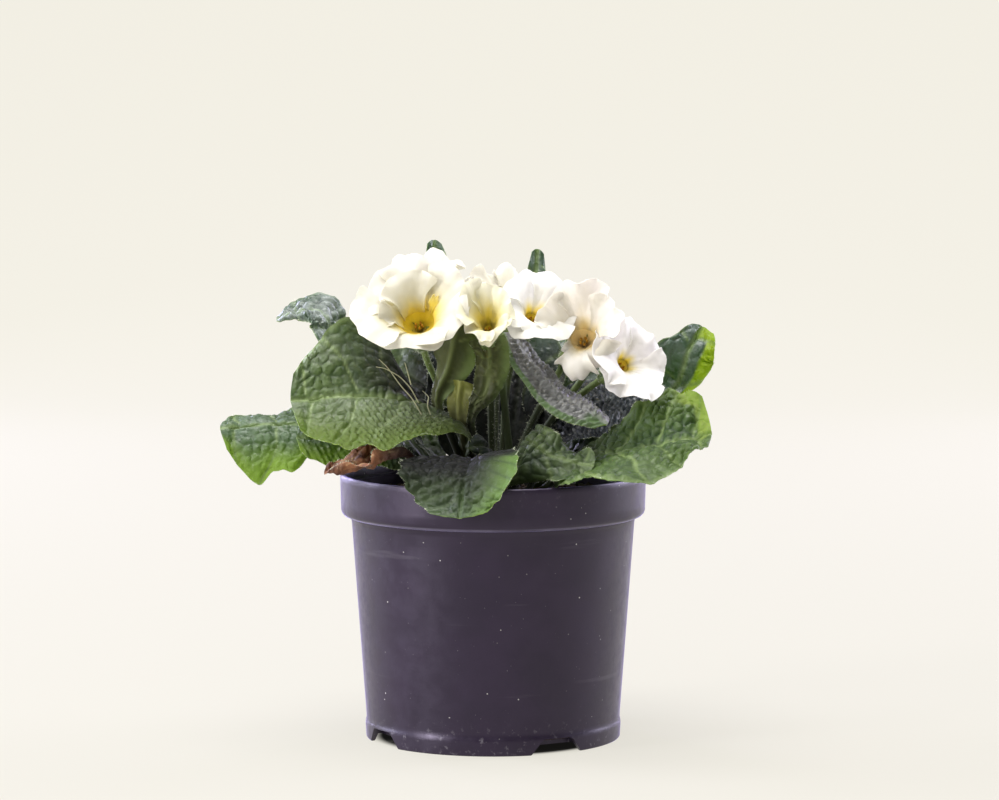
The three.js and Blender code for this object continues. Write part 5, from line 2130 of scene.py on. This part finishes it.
FINISHES = (
    LeafFinish(Look.LEAF),
    LeafFinish(
        Look.BROAD, shine=(0.12, 0.16, 0.03), vein=(0.22, 0.29, 0.12), painted_sheen=(0.2, 0.22, 0.17),
        painted_sheen_share=0.34,
    ),
    LeafFinish(
        Look.FRESH, dark=(0.014, 0.034, 0.01), light=(0.06, 0.1, 0.02), vein=(0.19, 0.26, 0.09),
        glow=(0.3, 0.5, 0.03), shine=(0.27, 0.33, 0.08), through=0.22, wax=0.3,
    ),
    LeafFinish(
        Look.LIT, dark=(0.02, 0.05, 0.012), light=(0.075, 0.132, 0.024), glow=(0.34, 0.54, 0.04),
        through=0.28,
    ),
    LeafFinish(
        Look.SUNNY, dark=(0.009, 0.028, 0.012), light=(0.038, 0.074, 0.022), glow=(0.34, 0.52, 0.04),
        through=0.18, shine=(0.2, 0.3, 0.045), painted_sheen=(0.13, 0.17, 0.16), painted_sheen_share=0.3,
        crease_shade=(0.012, 0.03, 0.008),
    ),
    LeafFinish(
        Look.PALE, dark=(0.01, 0.022, 0.007), light=(0.036, 0.062, 0.017), vein=(0.062, 0.098, 0.036),
        shine=(0.13, 0.2, 0.06), gloss=0.44, wax=0.32,
    ),
    LeafFinish(
        Look.BLUE, dark=(0.01, 0.026, 0.018), light=(0.032, 0.062, 0.036), painted_sheen=(0.2, 0.225, 0.235),
        painted_sheen_share=0.5, gloss=0.32,
    ),
    # Mostly painted sheen: a grey tone over dark green stands in for the lamps' gloss on the high left leaf.
    LeafFinish(
        Look.SILVER, dark=(0.014, 0.03, 0.02), light=(0.045, 0.075, 0.045), painted_sheen=(0.34, 0.37, 0.37),
        painted_sheen_share=0.75, gloss=0.3, vein=(0.2, 0.26, 0.16),
    ),
    # Painted reflection: the grey base, grey-white ridges and painted sheen stand in for the bright backdrop
    # mirrored in the arched leaf.
    LeafFinish(
        Look.DUSKY, dark=(0.036, 0.038, 0.038), light=(0.072, 0.074, 0.07), vein=(0.24, 0.245, 0.23),
        painted_sheen=(0.22, 0.21, 0.24), painted_sheen_share=0.4, gloss=0.3, through=0.05, shine=(0.1, 0.17, 0.06),
    ),
    # Painted shade and glints: a near-black blue base for a leaf in shade, with grey-white ridges standing in
    # for the glints on them.
    LeafFinish(
        Look.SLATE, dark=(0.005, 0.008, 0.012), light=(0.014, 0.02, 0.028), vein=(0.16, 0.18, 0.19),
        painted_sheen=(0.05, 0.06, 0.08), painted_sheen_share=0.25, gloss=0.2, through=0.03,
    ),
    UndersideFinish(Look.UNDER),
    UndersideFinish(
        Look.UNDER_LIT, pale=(0.22, 0.35, 0.012), deep=(0.15, 0.26, 0.012), shine=(0.3, 0.4, 0.02),
        glow=(0.5, 0.66, 0.02), through=0.4, wax=0.12,
    ),
    UndersideFinish(
        Look.UNDER_GOLD, pale=(0.24, 0.25, 0.035), deep=(0.1, 0.11, 0.02), vein=(0.42, 0.44, 0.14),
        glow=(0.6, 0.62, 0.08),
    ),
    # Darker olive copy of the underside: painted shade for the inner leaves under the flowers.
    UndersideFinish(
        Look.UNDER_OLIVE, pale=(0.064, 0.074, 0.021), deep=(0.036, 0.043, 0.013), vein=(0.14, 0.175, 0.055),
        glow=(0.22, 0.25, 0.04), through=0.14, shine=(0.17, 0.25, 0.07),
    ),
    DryFinish(),
    PetalFinish(Look.PETAL),
    # Lighter gold and tube tones paint light into this flower's shaded throat; its paler petals are its own
    # faded tint.
    PetalFinish(
        Look.FADED, cream=(0.66, 0.64, 0.56), white=(0.76, 0.75, 0.72), yellow=(0.74, 0.62, 0.32),
        gold=(0.72, 0.54, 0.24), deep=(0.34, 0.22, 0.08), glow=(0.95, 0.9, 0.8),
    ),
    PetalFinish(
        Look.WARM, cream=(0.66, 0.63, 0.38), white=(0.7, 0.69, 0.58), yellow=(0.76, 0.64, 0.13),
        gold=(0.28, 0.22, 0.012),
    ),
    # Brighter copy of the petal finish: painted light for the right-hand flower, which faces away from the
    # lamps.
    PetalFinish(Look.BLUSH, cream=(0.83, 0.81, 0.77), white=(0.88, 0.865, 0.86), glow=(0.98, 0.96, 0.93)),
    # Whiter and brighter copy: partly the flower's own paler tint, partly painted light for a flower that
    # faces away from the lamps.
    PetalFinish(Look.SNOW, cream=(0.8, 0.79, 0.72), white=(0.84, 0.835, 0.81), glow=(0.98, 0.97, 0.93)),
    StalkFinish(),
    StalkFinish(
        Look.OLD_STALK, pale=(0.5, 0.5, 0.34), deep=(0.34, 0.33, 0.2), glow=(0.6, 0.6, 0.3), through=0.3,
    ),
    HairFinish(),
    PollenFinish(),
    PlasticFinish(),
    PeatFinish(),
)


def main() -> None:
    """Build the finishes, every piece of the plant and the stage."""
    logging.basicConfig(level=logging.INFO, format="%(message)s")
    finishes = {finish.look: finish.make() for finish in FINISHES}
    Pot().build(finishes)
    Soil().build(finishes)
    for leaf in LEAVES:
        leaf.build(finishes)
    OldStalks().build(finishes)
    for flower in FLOWERS:
        flower.build_stalk(finishes)
        flower.build_corolla(finishes)
    Stage().build()


if __name__ == "__main__":
    main()
